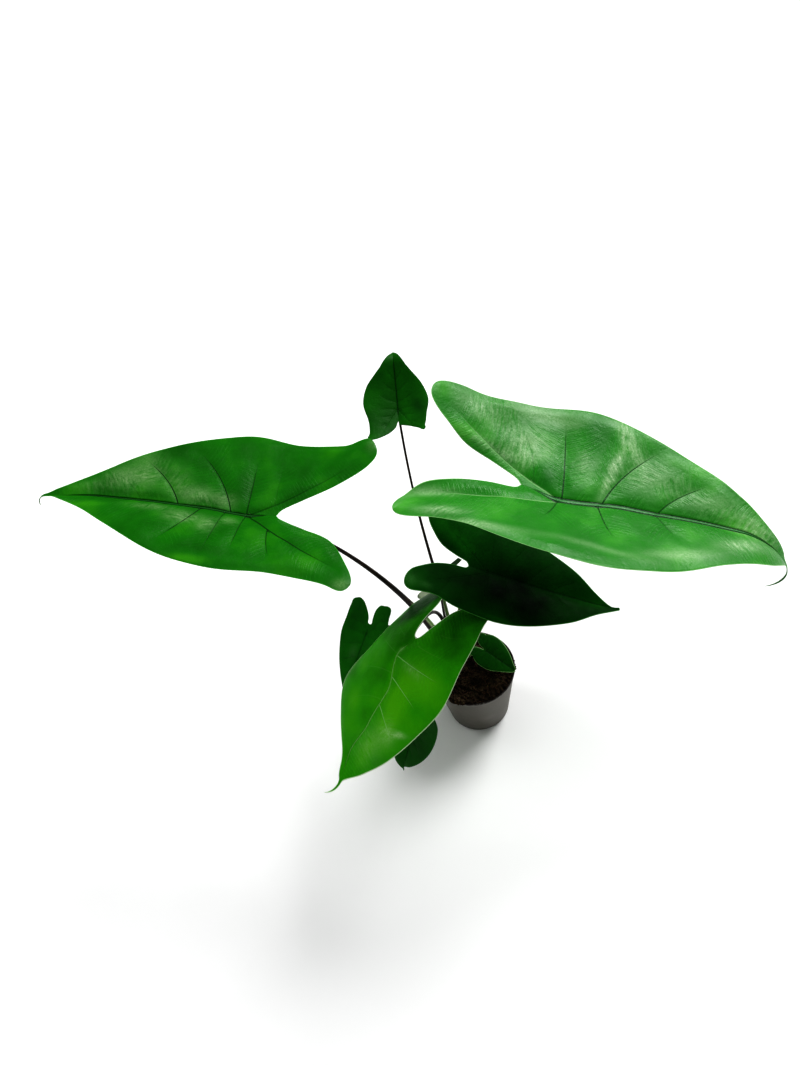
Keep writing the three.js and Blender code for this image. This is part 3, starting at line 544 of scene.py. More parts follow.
def make_piece(name, points, faces, materials, replaced=(), numbers=None, vectors=None,
               face_materials=None):
    """Puts arrays into a mesh, welds points that coincide, and lets the piece ride on the root body.
    Points are in millimetres. numbers and vectors hold values kept at each point by name."""
    mesh = bpy.data.meshes.new(name)
    mesh.from_pydata((np.asarray(points) * MM).tolist(), [], np.asarray(faces).tolist())
    for kind, field, kept in (("FLOAT", "value", numbers), ("FLOAT_VECTOR", "vector", vectors)):
        for key, values in (kept or {}).items():
            layer = mesh.attributes.new(key, kind, "POINT")
            layer.data.foreach_set(field, np.asarray(values, np.float32).ravel())
    for material in materials:
        mesh.materials.append(material)
    if face_materials is not None:
        mesh.polygons.foreach_set("material_index", np.asarray(face_materials, np.int32))
    mesh.polygons.foreach_set("use_smooth", np.ones(len(mesh.polygons), bool))
    shell = bmesh.new()
    shell.from_mesh(mesh)
    bmesh.ops.remove_doubles(shell, verts=shell.verts, dist=WELD)
    loose = [vertex for vertex in shell.verts if not vertex.link_faces]
    bmesh.ops.delete(shell, geom=loose, context="VERTS")
    shell.to_mesh(mesh)
    shell.free()
    mesh.update()
    piece = bpy.data.objects.new(name, mesh)
    bpy.context.scene.collection.objects.link(piece)
    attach(piece, "root")
    if replaced:
        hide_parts(*replaced)
    return piece


# Blade form

def blade_margins(leaf, side):
    """Control points of one half's margin in flat leaf coordinates, x along the midrib to the tip and
    y away from it: the outer margin from drip tip to the far point of the lobe, and the inner one
    from the notch to the same point. The lobe ends in a round."""
    length, notch, tail = leaf["length"], leaf["notch"], leaf["tail"]
    width, reach, spread, rounding = (
        leaf[key][side] for key in ("width", "lobe_reach", "lobe_spread", "lobe_round")
    )
    turn = np.arctan2(spread, reach)
    axis = np.array([-np.cos(turn), np.sin(turn)])
    outward = np.array([np.sin(turn), np.cos(turn)])
    centre = np.array([-reach, spread]) - rounding * axis

    def on_round(degrees, scale):
        angle = np.radians(degrees)
        return centre + scale * rounding * (np.cos(angle) * axis + np.sin(angle) * outward)

    outer_shoulder, inner_shoulder = on_round(95, 1.12), on_round(-95, 1.12)
    outer = [
        (length + tail, 0), (length + 0.5 * tail, 0.016 * width), (length - 0.1 * tail, 0.03 * width),
        (0.94 * length, 0.07 * width), (0.82 * length, 0.25 * width), (0.62 * length, 0.56 * width),
        (0.38 * length, 0.84 * width), (0.10 * length, width),
        (blend(0, outer_shoulder[0], 0.40), blend(1.02 * width, outer_shoulder[1], 0.28)),
        (blend(0, outer_shoulder[0], 0.75), blend(width, outer_shoulder[1], 0.66)),
        outer_shoulder, on_round(45, 1), on_round(0, 1),
    ]
    inner = [
        (-notch, 0), (blend(-notch, inner_shoulder[0], 0.08), 0.07 * spread),
        (blend(-notch, inner_shoulder[0], 0.33), blend(0, inner_shoulder[1], 0.24)),
        (blend(-notch, inner_shoulder[0], 0.66), blend(0, inner_shoulder[1], 0.55)),
        inner_shoulder, on_round(-45, 1), on_round(0, 1),
    ]
    outer_shift, inner_shift = leaf["outer_shift"][side], leaf["inner_shift"][side]
    outer = moved_outward(outer, outer_shift, 3, axis, 1)
    return outer, moved_outward(inner, [*inner_shift, *outer_shift[-1:]], 1, axis, -1)


def margin_paths(outer, inner):
    """The margins as dense paths. They run on into each other round the lobe's end, where a moving
    average takes the corners off the curve through the control points."""
    path = catmull_rom(np.vstack([outer, inner[-2::-1]]))
    turn = KNOT_STEPS * (len(outer) - 1)
    soft = path.copy()
    for _ in range(AVERAGE_PASSES):
        for axis in (0, 1):
            wide = np.pad(soft[:, axis], AVERAGE_STEPS // 2, "edge")
            soft[:, axis] = np.convolve(wide, np.ones(AVERAGE_STEPS) / AVERAGE_STEPS, "valid")
    away = np.abs(np.arange(len(path)) - turn)
    path = blend(soft, path, eased(away, 1.5 * KNOT_STEPS, 2.5 * KNOT_STEPS)[:, None])
    return path[:turn + 1], path[:turn - 1:-1]


def moved_outward(points, shifts, first, end_way, turn):
    """Control points from the first one on moved outward, square to the chord between their
    neighbours, and the last one along the lobe."""
    places = np.array(points, float)
    chord = unit(np.gradient(places, axis=0))
    way = turn * np.stack([chord[:, 1], -chord[:, 0]], -1)
    way[-1] = end_way
    amount = np.zeros(len(places))
    amount[first:first + len(shifts)] = shifts
    return places + way * amount[:, None]


def arc(length, curvature):
    """Along and out of a circular arc: sin(k l) / k and (1 - cos(k l)) / k."""
    straight = np.abs(curvature) < 1e-9
    safe = np.where(straight, 1.0, curvature)
    along = np.where(straight, length, np.sin(length * safe) / safe)
    return along, np.where(straight, 0.0, (1 - np.cos(length * safe)) / safe)


def midrib_drift(leaf, s):
    """How far the midrib lies to the left after the length s, eased from place to place."""
    places = [(-leaf["notch"], 0), *leaf["drift"], (leaf["length"], 0)]
    drift = np.zeros_like(s)
    for (low, start), (high, end) in zip(places[:-1], places[1:]):
        drift = np.where((s > low) & (s <= high), blend(start, end, eased(s, low, high)), drift)
    return drift


def blade_point(leaf, s, t, side):
    """The bent blade in the leaf's own frame. The midrib is a chain of three arcs in side view, droop,
    nod and tail curl, and one arc behind the junction that lifts the lobes. Across it each half
    leaves at its fold angle on an arc, the cup, turned by the twist and carried by the drift."""
    length = leaf["length"]
    rise = np.array(leaf["lobe_rise"], float)
    lobe = blend(rise.mean(), rise[side], eased(np.abs(t), 0, LOBE_BLEND * length))
    behind = np.radians(lobe) / (LOBE_SPAN * length)
    back_x, back_z = arc(s, behind)
    x, z, slope, left = np.zeros_like(s), np.zeros_like(s), np.zeros_like(s), np.maximum(s, 0)
    bends = [(NOD_START * length, leaf["droop"]), ((1 - NOD_START) * length, leaf["nod"]),
             (leaf["tail"], leaf["tail_curl"])]
    for span, bend in bends:
        step = np.minimum(left, span)
        curvature = np.full_like(s, -np.radians(bend) / span)
        ahead, up = arc(step, curvature)
        x = x + ahead * np.cos(slope) - up * np.sin(slope)
        z = z + ahead * np.sin(slope) + up * np.cos(slope)
        slope = slope + curvature * step
        left = left - step
    x, z = np.where(s <= 0, back_x, x), np.where(s <= 0, back_z, z)
    slope = np.where(s <= 0, behind * s, slope)
    fold = np.radians(leaf["fold"][side])
    out, up = arc(np.abs(t), np.full_like(s, -np.radians(leaf["cup"][side]) / (CUP_SPAN * length)))
    sign = 1 if side == LEFT else -1
    across = sign * (out * np.cos(fold) - up * np.sin(fold))
    height = out * np.sin(fold) + up * np.cos(fold)
    twist = np.radians(leaf["twist"]) * s / length
    y = across * np.cos(twist) - height * np.sin(twist)
    lift = across * np.sin(twist) + height * np.cos(twist)
    followed = 1 - eased(np.abs(t), 0, DRIFT_REACH * length)
    y = y + midrib_drift(leaf, s) * followed
    return np.stack([x - lift * np.sin(slope), y, z + lift * np.cos(slope)], -1)


def leaf_axes(leaf):
    """Rows: toward the tip, to the blade's left, and up out of its face."""
    heading, pitch, roll = np.radians([leaf["heading"], leaf["pitch"], leaf["roll"]])
    forward = np.array([np.cos(heading) * np.cos(pitch), np.sin(heading) * np.cos(pitch), np.sin(pitch)])
    level = np.array([-np.sin(heading), np.cos(heading), 0])
    leftward = level * np.cos(roll) + np.cross(forward, level) * np.sin(roll)
    return np.stack([forward, leftward, np.cross(forward, leftward)])


def placed(leaf, points):
    return np.array(leaf["junction"], float) + points @ leaf_axes(leaf)


def half_grid(leaf, side):
    """Flat grid of one half. Row i runs from the midrib, or past the notch from the lobe's inner
    margin, straight out to the outer margin. Strips crowd toward the midrib."""
    outer, inner = blade_margins(leaf, side)
    stations, strips = leaf["stations"], leaf["strips"]
    spine_rows = round(SPINE_SHARE * stations)
    row = np.arange(stations + 1)
    on_spine = np.minimum(row / spine_rows, 1) ** TIP_CROWDING
    on_lobe = np.clip((row - spine_rows) / (stations - spine_rows), 0, 1)
    share = np.where(row <= spine_rows, SPINE_SHARE * on_spine, blend(SPINE_SHARE, 1, on_lobe))
    spine_x = blend(leaf["length"] + leaf["tail"], -leaf["notch"], on_spine)
    spine = np.stack([spine_x, np.zeros_like(spine_x)], -1)
    outer_path, inner_path = margin_paths(outer, inner)
    start = np.where((row <= spine_rows)[:, None], spine, along_path(inner_path, on_lobe))
    end = along_path(outer_path, share)
    crowding = blend(MIDRIB_CROWDING, 1.0, eased(row, 0.9 * spine_rows, 1.15 * spine_rows))
    across = np.linspace(0, 1, strips + 1)[None, :] ** crowding[:, None]
    flat = start[:, None] + (end - start)[:, None] * across[..., None]
    return flat, share, across, spine_rows


# Veins

def half_veins(leaf, side):
    """The main veins of one half as polylines in flat coordinates, with the half width of each at its
    start in millimetres and its strength: the costa, the laterals off the midrib and the costals off
    the costa."""
    length = leaf["length"]
    sign = 1 if side == LEFT else -1
    course = leaf["veins"][side]
    drift = lambda s: float(midrib_drift(leaf, np.array([s]))[0])
    strength = lambda rest: rest[0] if rest else 1.0
    line = lambda points: bezier(points, 24)
    bend_s, bend_t, end_s, end_t = (length * share for share in course["costa"][:4])
    root = (0, drift(0))
    costa = line([root, (bend_s, sign * bend_t), (end_s, sign * end_t)])
    veins = [(costa, COSTA_WIDTH, strength(course["costa"][4:]))]
    for share, ahead, out, *rest in course["laterals"]:
        start = length * share
        end = np.array([length * ahead, sign * length * out])
        bend = (blend(start, end[0], 0.25), 0.55 * end[1])
        veins.append((line([(start, drift(start)), bend, end]), LATERAL_WIDTH, strength(rest)))
    for share, ahead, out, *rest in course["costals"]:
        start = costa[round(share * (len(costa) - 1))]
        end = np.array([length * ahead, sign * length * out])
        bend = (blend(start[0], end[0], 0.25), blend(start[1], end[1], 0.6))
        veins.append((line([start, bend, end]), COSTAL_WIDTH, strength(rest)))
    return veins


def from_line(points, line):
    """Signed distance of points to a polyline, and how far along it the nearest place lies."""
    start, step = line[:-1], np.diff(line, axis=0)
    length = np.linalg.norm(step, axis=1)
    offset = points[:, None, :] - start[None]
    share = np.clip((offset * step).sum(-1) / length**2, 0, 1)
    distance = np.linalg.norm(offset - share[..., None] * step, axis=-1)
    best = distance.argmin(1)
    rows = np.arange(len(points))
    cross = step[best, 0] * offset[rows, best, 1] - step[best, 1] * offset[rows, best, 0]
    run = np.concatenate([[0], np.cumsum(length)])[best] + share[rows, best] * length[best]
    return distance[rows, best] * np.where(cross < 0, -1, 1), run


def vein_values(leaf, side, flat):
    """What the shader needs at each point, in millimetres: signed distance to the midrib and to the
    nearest other vein with the half width of each, and the phase of the fine side veins. They leave a
    strong vein at an angle and bend toward its end: phase = (run - 0.3 d - 0.005 d^2) / spacing. For
    the mesh, groove is the largest exp(-(d / reach)^2) of all veins, and dome is 4 a b / (a + b)^2,
    with a and b the distances to the two nearest veins, so it rises between them."""
    length = leaf["length"]
    size = length / FULL_LENGTH
    points = flat.reshape(-1, 2)
    s, t = points.T
    rib = t - midrib_drift(leaf, s)
    rib_width = leaf["midrib"] * blend(1, 0.4, np.clip(s / length, 0, 1))
    rib_width = rib_width * (1 - eased(s / length, 0.7, 1.0)) * (1 - eased(-s, 0, 0.8 * leaf["notch"]))
    veins = half_veins(leaf, side)
    found = [from_line(points, line) for line, _, _ in veins]
    signed = np.array([distance for distance, _ in found])
    run = np.array([along for _, along in found])
    total = np.array([np.linalg.norm(np.diff(line, axis=0), axis=1).sum() for line, _, _ in veins])
    start_width = np.array([width for _, width, _ in veins])[:, None] * size**0.6
    strength = np.array([amount for _, _, amount in veins])
    away = np.abs(signed)
    rows = np.arange(len(points))
    share = run / total[:, None]
    width = start_width * blend(1, 0.35, share)
    fade = (1 - eased(share, 0.65, 1.0)) * strength[:, None]
    nearest = (away + 1.5 * (1 - strength[:, None])).argmin(0)
    vein = signed[nearest, rows]
    narrow = np.exp(-(away / (1.5 * width + 0.7)) ** 2)
    wide = np.exp(-(away / (7 * size)) ** 2)
    groove = (fade * (narrow + 0.5 * wide)).max(0)

    # Fine side veins leave only the midrib and the stronger veins
    strong = strength >= min(0.5, strength.max())
    gaps = np.vstack([np.abs(rib)[None], away[strong]])
    runs = np.vstack([s[None], run[strong]])
    whole = np.concatenate([[1e4], total[strong]])
    order = np.argsort(gaps, axis=0)
    first, second = order[0], order[1]
    gap, run_first = gaps[first, rows], runs[first, rows]
    phase = (run_first - 0.3 * gap - 0.005 * gap**2) / (FINE_SPACING * size**0.35)
    clear = eased(gaps[second, rows] - gap, 4, 10) * eased(gap, 0.8, 2.5)
    clear = clear * (1 - eased(gap, 50 * size, 90 * size))
    clear = clear * (1 - eased(run_first / whole[first], 0.85, 0.99)) * min(1, 1.6 * strength.max())

    # A weak vein counts as farther away, so the blade hardly dips there between its domes
    weak = np.vstack([np.zeros((1, 1)), 25 * size * (1 - strength[:, None])])
    near, far = np.sort(np.vstack([np.abs(rib)[None], away]) + weak, axis=0)[:2]
    dome = 4 * near * far / np.maximum(near + far, 1e-6) ** 2 * eased(near + far, 0, 40 * size)
    return {
        "rib": rib, "rib_width": np.maximum(rib_width, 0.05), "vein": vein, "vein_gap": np.abs(vein),
        "vein_width": width[nearest, rows], "vein_fade": fade[nearest, rows], "phase": phase,
        "fine": clear, "gap": gap, "costa": (nearest == 0).astype(float), "dome": dome, "groove": groove,
    }


def patches(places, s, t):
    """The sum of soft spots, each its amount times exp(-(u^2 + v^2)) with u and v the distances along
    and across the turned spot over its reaches."""
    total = np.zeros_like(s)
    for along, left, reach_along, reach_left, turn, amount in places:
        way = np.radians(turn)
        u = ((s - along) * np.cos(way) + (t - left) * np.sin(way)) / reach_along
        v = ((t - left) * np.cos(way) - (s - along) * np.sin(way)) / reach_left
        total = total + amount * np.exp(-(u**2 + v**2))
    return total


def smoothed(grid, times):
    """A grid averaged with its neighbours, 1 2 1 along both directions, its rim left as it is."""
    grid = grid.copy()
    for _ in range(times):
        grid[1:-1] = (grid[:-2] + 2 * grid[1:-1] + grid[2:]) / 4
        grid[:, 1:-1] = (grid[:, :-2] + 2 * grid[:, 1:-1] + grid[:, 2:]) / 4
    return grid


def half_surface(leaf, side, settings):
    """One half of the blade as two faces round a middle surface. Relief in millimetres on the middle
    surface: grooves at the veins, domes between them, a low undulation and a slightly waved margin.
    The underside stands proud along the veins, and the blade thins toward its margin."""
    flat, share, across, spine_rows = half_grid(leaf, side)
    sign = 1 if side == LEFT else -1
    size = leaf["length"] / FULL_LENGTH
    s, t = flat[..., 0], sign * flat[..., 1]
    followed = 1 - eased(np.abs(t), 0, DRIFT_REACH * leaf["length"])
    seen = np.stack([s, t + midrib_drift(leaf, s) * followed], -1)
    values = {key: value.reshape(s.shape) for key, value in vein_values(leaf, side, seen).items()}
    middle = blade_point(leaf, s, t, side)
    normal = unit(np.cross(np.gradient(middle, axis=1), np.gradient(middle, axis=0))) * sign
    normal[0], normal[-1] = normal[1], normal[-2]
    random = np.random.default_rng(len(leaf["name"]) * 7 + side)
    wave = sum(
        height * np.sin(share * MARGIN_RUN * size / span + random.uniform(0, 2 * np.pi))
        for span, height in MARGIN_WAVES)
    wave = wave * eased(share, 0.06, 0.2) * settings.margin_wave / MM * size**0.5
    off_spine = np.abs(t) + np.maximum(-s - leaf["notch"], 0)
    groove = values.pop("groove") * eased(off_spine, 0, 4 * size)
    rib_edge = (np.abs(values["rib"]) - 0.8 * values["rib_width"]) / (0.5 * values["rib_width"])
    rib_groove = np.exp(-rib_edge**2) * eased(values["rib_width"], 0.1, 0.8)
    margin_gap = np.linalg.norm(flat[:, -1:] - flat, axis=-1)
    lobe_gap = np.linalg.norm(flat[:, :1] - flat, axis=-1)
    lobe_gap[:spine_rows] = 1e3
    edge = np.minimum(margin_gap, lobe_gap)
    low_wave = sum(
        height * value_noise(s, t, cell * size, seed + side) for cell, height, seed in UNDULATION)
    relief = leaf["quilt"] * settings.quilting * (smoothed(values.pop("dome"), 5) + 0.3 * low_wave)
    relief *= eased(edge, 0, 16 * size) * eased(off_spine, 0, 12 * size)
    relief -= settings.vein_depth / MM * leaf["sunk"] * (groove + 0.9 * rib_groove)
    relief += wave[:, None] * across**3
    middle = middle + normal * relief[..., None]
    share_s, share_t = s / leaf["length"], t / leaf["length"]
    # Tones: darker and brighter patches, partly the blade's own tone and partly painted shade and painted
    # light
    values["tone"] = patches(leaf["tones"], share_s, share_t)
    # Painted sheen: pale milky highlights painted into the colour by the sheen patches
    values["wax"] = np.clip(patches(leaf["painted_sheen_patches"], share_s, share_t), 0, 1.2)
    half = settings.thickness / MM / 2 * blend(0.55, 1, eased(edge, 0, 5))
    proud = 1.9 * size**0.6 * np.exp(-(values["rib"] / (1.2 * values["rib_width"] + 0.2)) ** 2)
    proud = proud * eased(values["rib_width"], 0.1, 1.6)
    proud = np.maximum(proud, 0.9 * size**0.5 * groove) * eased(edge, 0.5, 4)
    return dict(middle=middle, normal=normal, half=half, proud=proud, values=values, edge=edge,
                spine_rows=spine_rows)


def blade_mesh(leaf, settings):
    """Both halves as one closed sheet: each row goes out over the top, round the margin and back
    below. Along the lobes the inner margin closes it, and ahead of the notch the halves meet."""
    halves = [half_surface(leaf, side, settings) for side in (LEFT, RIGHT)]
    spine = slice(0, halves[LEFT]["spine_rows"] + 1)
    shared = unit(halves[LEFT]["normal"][spine, 0] + halves[RIGHT]["normal"][spine, 0])
    points, faces, kinds, numbers, count = [], [], [], {}, 0
    for side, half in enumerate(halves):
        middle, normal = half["middle"], half["normal"]
        normal[spine, 0] = shared
        top = middle + normal * half["half"][..., None]
        under = middle - normal * (half["half"] + half["proud"])[..., None]
        rim = middle[:, -1] + unit(middle[:, -1] - middle[:, -2]) * half["half"][:, -1:] * 0.9
        rim[0] = middle[0, 0]
        inner = middle[:, 0] + unit(middle[:, 0] - middle[:, 1]) * half["half"][:, :1] * 0.9
        notch_row = half["spine_rows"]
        inner[notch_row] = middle[notch_row, 0] + np.array([-0.9 * half["half"][notch_row, 0], 0, 0])
        ring = np.concatenate([top, rim[:, None], under[:, ::-1], inner[:, None]], axis=1)
        rows, columns = ring.shape[:2]
        index = numbered(ring, count)
        spread = lambda grid: np.concatenate([grid, grid[:, -1:], grid[:, ::-1], grid[:, :1]], axis=1)
        sheet = grid_faces(index[:, :-1])
        closing = grid_faces(index[notch_row:][:, [-2, -1, 0]])
        here = np.concatenate([sheet, closing])
        below = np.tile(np.arange(columns - 2) > leaf["strips"], rows - 1)
        kinds.append(np.concatenate([below, np.zeros(len(closing), bool)]))
        faces.append(here if side == LEFT else here[:, ::-1])
        points.append(ring.reshape(-1, 3))
        for key, grid in {**half["values"], "edge": half["edge"]}.items():
            numbers.setdefault(key, []).append(spread(grid).ravel())
        count += rows * columns
    numbers = {key: np.concatenate(parts) for key, parts in numbers.items()}
    return placed(leaf, np.concatenate(points)), np.concatenate(faces), np.concatenate(kinds), numbers


# Petiole form

def petiole_mesh(leaf, sides=36):
    """A profile carried along a cubic curve from the corm over two knees to the blade's junction. Its
    radius falls as the share of the length to the power 0.7. Along the inner side of the lower third
    stand the two wings of the sheath with a shallow channel between them, and the head flares."""
    axes = leaf_axes(leaf)
    origin = np.zeros(1)
    junction = placed(leaf, blade_point(leaf, origin, origin, LEFT))[0]
    head = junction - axes[2] * HEAD_DEPTH
    foot = np.array([*(CROWN + np.array(leaf["base"])), CORM_TOP + SOIL_GAP])
    curve = bezier([foot, *leaf["knees"], head], CURVE_STEPS)
    length = np.linalg.norm(np.diff(curve, axis=0), axis=1).sum()
    steps = int(np.clip(length / PETIOLE_STEP, 24, 170))
    share = np.linspace(0, 1, steps + 1)
    centre = along_path(curve, share)
    tangent = unit(np.gradient(centre, axis=0))
    lean = np.arctan2(head[1] - foot[1], head[0] - foot[0])
    level = np.array([-np.sin(lean), np.cos(lean), 0])
    across = unit(level - (tangent @ level)[:, None] * tangent)
    inner = np.cross(tangent, across)
    radius = blend(leaf["bottom"], leaf["top"], np.minimum(1, share * 1.4) ** 0.7) / 2
    radius = radius * (1 + 0.25 * eased(share, 1 - 7 / length, 1))
    sheath = np.sin(np.pi * np.clip((share - SHEATH_START) / SHEATH_LENGTH, 0, 1))
    angle = np.linspace(0, 2 * np.pi, sides, endpoint=False)
    off = np.degrees(np.abs(np.angle(np.exp(1j * (angle - np.pi / 2)))))
    wing = np.exp(-((off - WING_ANGLE) / WING_WIDTH) ** 2)
    channel = np.exp(-((off / CHANNEL_WIDTH) ** 2))
    bulge = 1 + sheath[:, None] * (0.42 * wing - 0.06 * channel + 0.05)
    reach = radius[:, None] * bulge
    ring = centre[:, None] + reach[..., None] * (
        across[:, None] * np.cos(angle)[None, :, None] + inner[:, None] * np.sin(angle)[None, :, None])
    over = (ring - junction) @ axes[2] + HEAD_DEPTH
    ring = ring - axes[2] * (np.maximum(over, 0) * (share > 0.9)[:, None])[..., None]
    index = numbered(ring)
    faces = grid_faces(np.concatenate([index, index[:, :1]], axis=1))
    points = np.concatenate([ring.reshape(-1, 3), centre[:1], ring[-1:].mean(1)])
    low, high = index.size, index.size + 1
    beside = np.roll(index, -1, axis=1)
    foot_cap = np.stack([np.full(sides, low), beside[0], index[0]], -1)
    head_cap = np.stack([np.full(sides, high), index[-1], beside[-1]], -1)
    caps = foot_cap.tolist() + head_cap.tolist()
    whole = lambda grid: np.concatenate([grid.ravel(), grid[0, :1], grid[-1, :1]])
    inside = eased(WING_ANGLE + 12 - off, 0, 14)[None] * eased(sheath, 0.15, 0.6)[:, None]
    along = np.broadcast_to(share[:, None], index.shape)
    skin = turned(reach, angle, (share * length)[:, None])
    skin = np.concatenate([skin.reshape(-1, 3), skin[0, :1], skin[-1, :1]])
    edge = wing[None] * eased(sheath, 0.1, 0.5)[:, None]
    numbers = {"sheath": whole(inside), "sheath_edge": whole(edge), "along": whole(along)}
    return points, faces.tolist() + caps, numbers, {"skin": skin}


# Materials. A noise's scale is in cells per metre, so 1000 / scale is its grain in millimetres.

# What the blades' shaders read from their meshes, in millimetres where it is a distance
BLADE_VALUES = (
    "tone", "wax", "phase", "fine", "gap", "vein", "vein_gap", "vein_width", "vein_fade", "costa", "rib",
    "rib_width", "edge",
)


def blade_material(name, look):
    """Living aroid leaf, upper side: a waxy cuticle over green tissue, with painted sheen here and there
    and painted shade and light in soft patches. It gives soft highlights, broken up by the cells, dark
    channelled veins, fine side veins and a thin pale margin."""
    material, tree, shader = new_material(name)
    place = add_node(tree, PLACE, out="Object")
    kept = {key: add_node(tree, ATTRIBUTE, out="Fac", attribute_name=key) for key in BLADE_VALUES}
    pale = tuple(min(1.0, 1.5 * c + 0.006) for c in look["green"][:3]) + (1.0,)

    # Tone from deep to bright: the blade's patches, which paint shade and light and partly give its own
    # tone, and a mottle a few centimetres wide
    clouds = add_node(tree, NOISE, {"Vector": place, "Scale": 24.0, "Detail": 3.0})
    clouds = add_node(tree, MATH, {0: clouds, 1: 1.6, 2: -0.8}, operation="MULTIPLY_ADD")
    tone = add_node(tree, MATH, {0: kept["tone"], 1: clouds}, operation="ADD")
    darker = add_node(tree, RANGE, {"Value": tone, "From Min": 0.05, "From Max": -1.0})
    brighter = add_node(tree, RANGE, {"Value": tone, "From Min": 0.05, "From Max": 1.0})

    # Fine side veins as thin lines where the phase is near a whole number, weaker where it is dark
    bends = add_node(tree, NOISE, {"Vector": place, "Scale": 60.0, "Detail": 2.0})
    wander = add_node(tree, MATH, {0: bends, 1: 0.5, 2: kept["phase"]}, operation="MULTIPLY_ADD")
    turn = add_node(tree, MATH, {0: wander}, operation="FRACT")
    off = add_node(tree, MATH, {0: turn, 1: 0.5}, operation="SUBTRACT")
    off = add_node(tree, MATH, {0: off}, operation="ABSOLUTE")
    line = add_node(tree, RANGE, {"Value": off, "From Min": 0.17, "From Max": 0.03}, **SOFT)
    line = add_node(tree, MATH, {0: line, 1: kept["fine"]}, operation="MULTIPLY")
    shown = add_node(tree, MATH, {0: darker, 1: -0.85, 2: 1.0}, operation="MULTIPLY_ADD")

    # Painted sheen, a pale milky highlight painted into the colour: in streaks along the fine side veins
    # and in grains of about 2 mm
    along = add_node(tree, MATH, {0: kept["gap"], 1: 0.06}, operation="MULTIPLY")
    streaks = add_node(tree, "ShaderNodeCombineXYZ", {0: wander, 1: along})
    streaks = add_node(tree, NOISE, {"Vector": streaks, "Scale": 1.3, "Detail": 4.0, "Roughness": 0.6})
    streaks = add_node(tree, RANGE, {
        "Value": streaks, "From Min": 0.32, "From Max": 0.68, "To Min": -0.55, "To Max": 0.45})
    streaks = add_node(tree, MATH, {0: streaks, 1: kept["fine"], 2: 0.65}, operation="MULTIPLY_ADD")
    grain = add_node(tree, NOISE, {"Vector": place, "Scale": 480.0, "Detail": 3.0, "Roughness": 0.7})
    grain = add_node(tree, RANGE, {"Value": grain, "From Min": 0.35, "From Max": 0.7, "To Min": 0.45})

    # Main veins, kept off the places where the nearest vein changes, and the midrib: two dark
    # channels with a rounded greener rib between them. Their ranges are in half widths.
    across = {}
    for key in ("vein", "rib"):
        off = add_node(tree, MATH, {0: kept[key]}, operation="ABSOLUTE")
        across[key] = add_node(tree, MATH, {0: off, 1: kept[key + "_width"]}, operation="DIVIDE")
    near, vein, channel, core, margin = (
        add_node(tree, RANGE, {"Value": value, "From Min": low, "From Max": high}, **SOFT)
        for value, low, high in (
            (kept["vein_gap"], 3.4, 2.4), (across["vein"], 1.0, 0.35), (across["rib"], 1.12, 0.86),
            (across["rib"], 0.62, 0.34), (kept["edge"], look["margin"], 0.4 * look["margin"])))
    for factor in (near, kept["vein_fade"]):
        vein = add_node(tree, MATH, {0: vein, 1: factor}, operation="MULTIPLY")
    shade = add_node(tree, MIX, {
        SHARE: kept["costa"], FIRST: look["vein"], SECOND: look["costa"]}, **COLOURS)

    # The green and what lies over it, one after the other, each by the product of its shares
    colour = look["green"]
    # deep paints shade and bright paints light where the tones call for it, and the sheen layer is a
    # painted highlight
    for shares, over in (
            ((darker,), look["deep"]), ((brighter,), look["bright"]),
            ((shown, line, look["fine"]), pale),
            ((kept["wax"], streaks, grain, look["painted_sheen_amount"]), look["wax"]),
            ((vein, look["veins"]), shade), ((channel, look["ribs"]), look["channel"]),
            ((core, look["ribs"]), look["rib"]), ((margin, 0.9), look["edge"])):
        share = shares[0]
        for factor in shares[1:]:
            share = add_node(tree, MATH, {0: share, 1: factor}, operation="MULTIPLY")
        colour = add_node(tree, MIX, {SHARE: share, FIRST: colour, SECOND: over}, **COLOURS)

    # Relief too fine for the mesh, each pattern with its height in metres
    cells = add_node(tree, NOISE, {"Vector": place, "Scale": 900.0, "Detail": 2.0})
    puckers = add_node(tree, NOISE, {"Vector": place, "Scale": 210.0, "Detail": 3.0})
    height = 0.0
    for pattern, rise in (
            (cells, 0.00008), (puckers, 0.0004), (streaks, 0.001 * look["fine"]),
            (line, -0.0004 * look["fine"]), (vein, -0.0003), (channel, -0.00025), (core, 0.0004)):
        height = add_node(tree, MATH, {0: pattern, 1: rise, 2: height}, operation="MULTIPLY_ADD")
    bump = add_node(tree, BUMP, {"Height": height, "Strength": 1.0, "Distance": 1.0})
    worn = add_node(tree, NOISE, {"Vector": place, "Scale": 90.0, "Detail": 3.0})
    rough = add_node(tree, RANGE, {
        "Value": worn, "From Min": 0.3, "From Max": 0.7, "To Min": look["gloss"] - 0.05,
        "To Max": look["gloss"] + 0.07})
    fill(tree, shader, {
        "Base Color": colour, "Normal": bump, "Roughness": rough, "IOR": 1.42,
        "Specular IOR Level": look["shine"]})
    return material


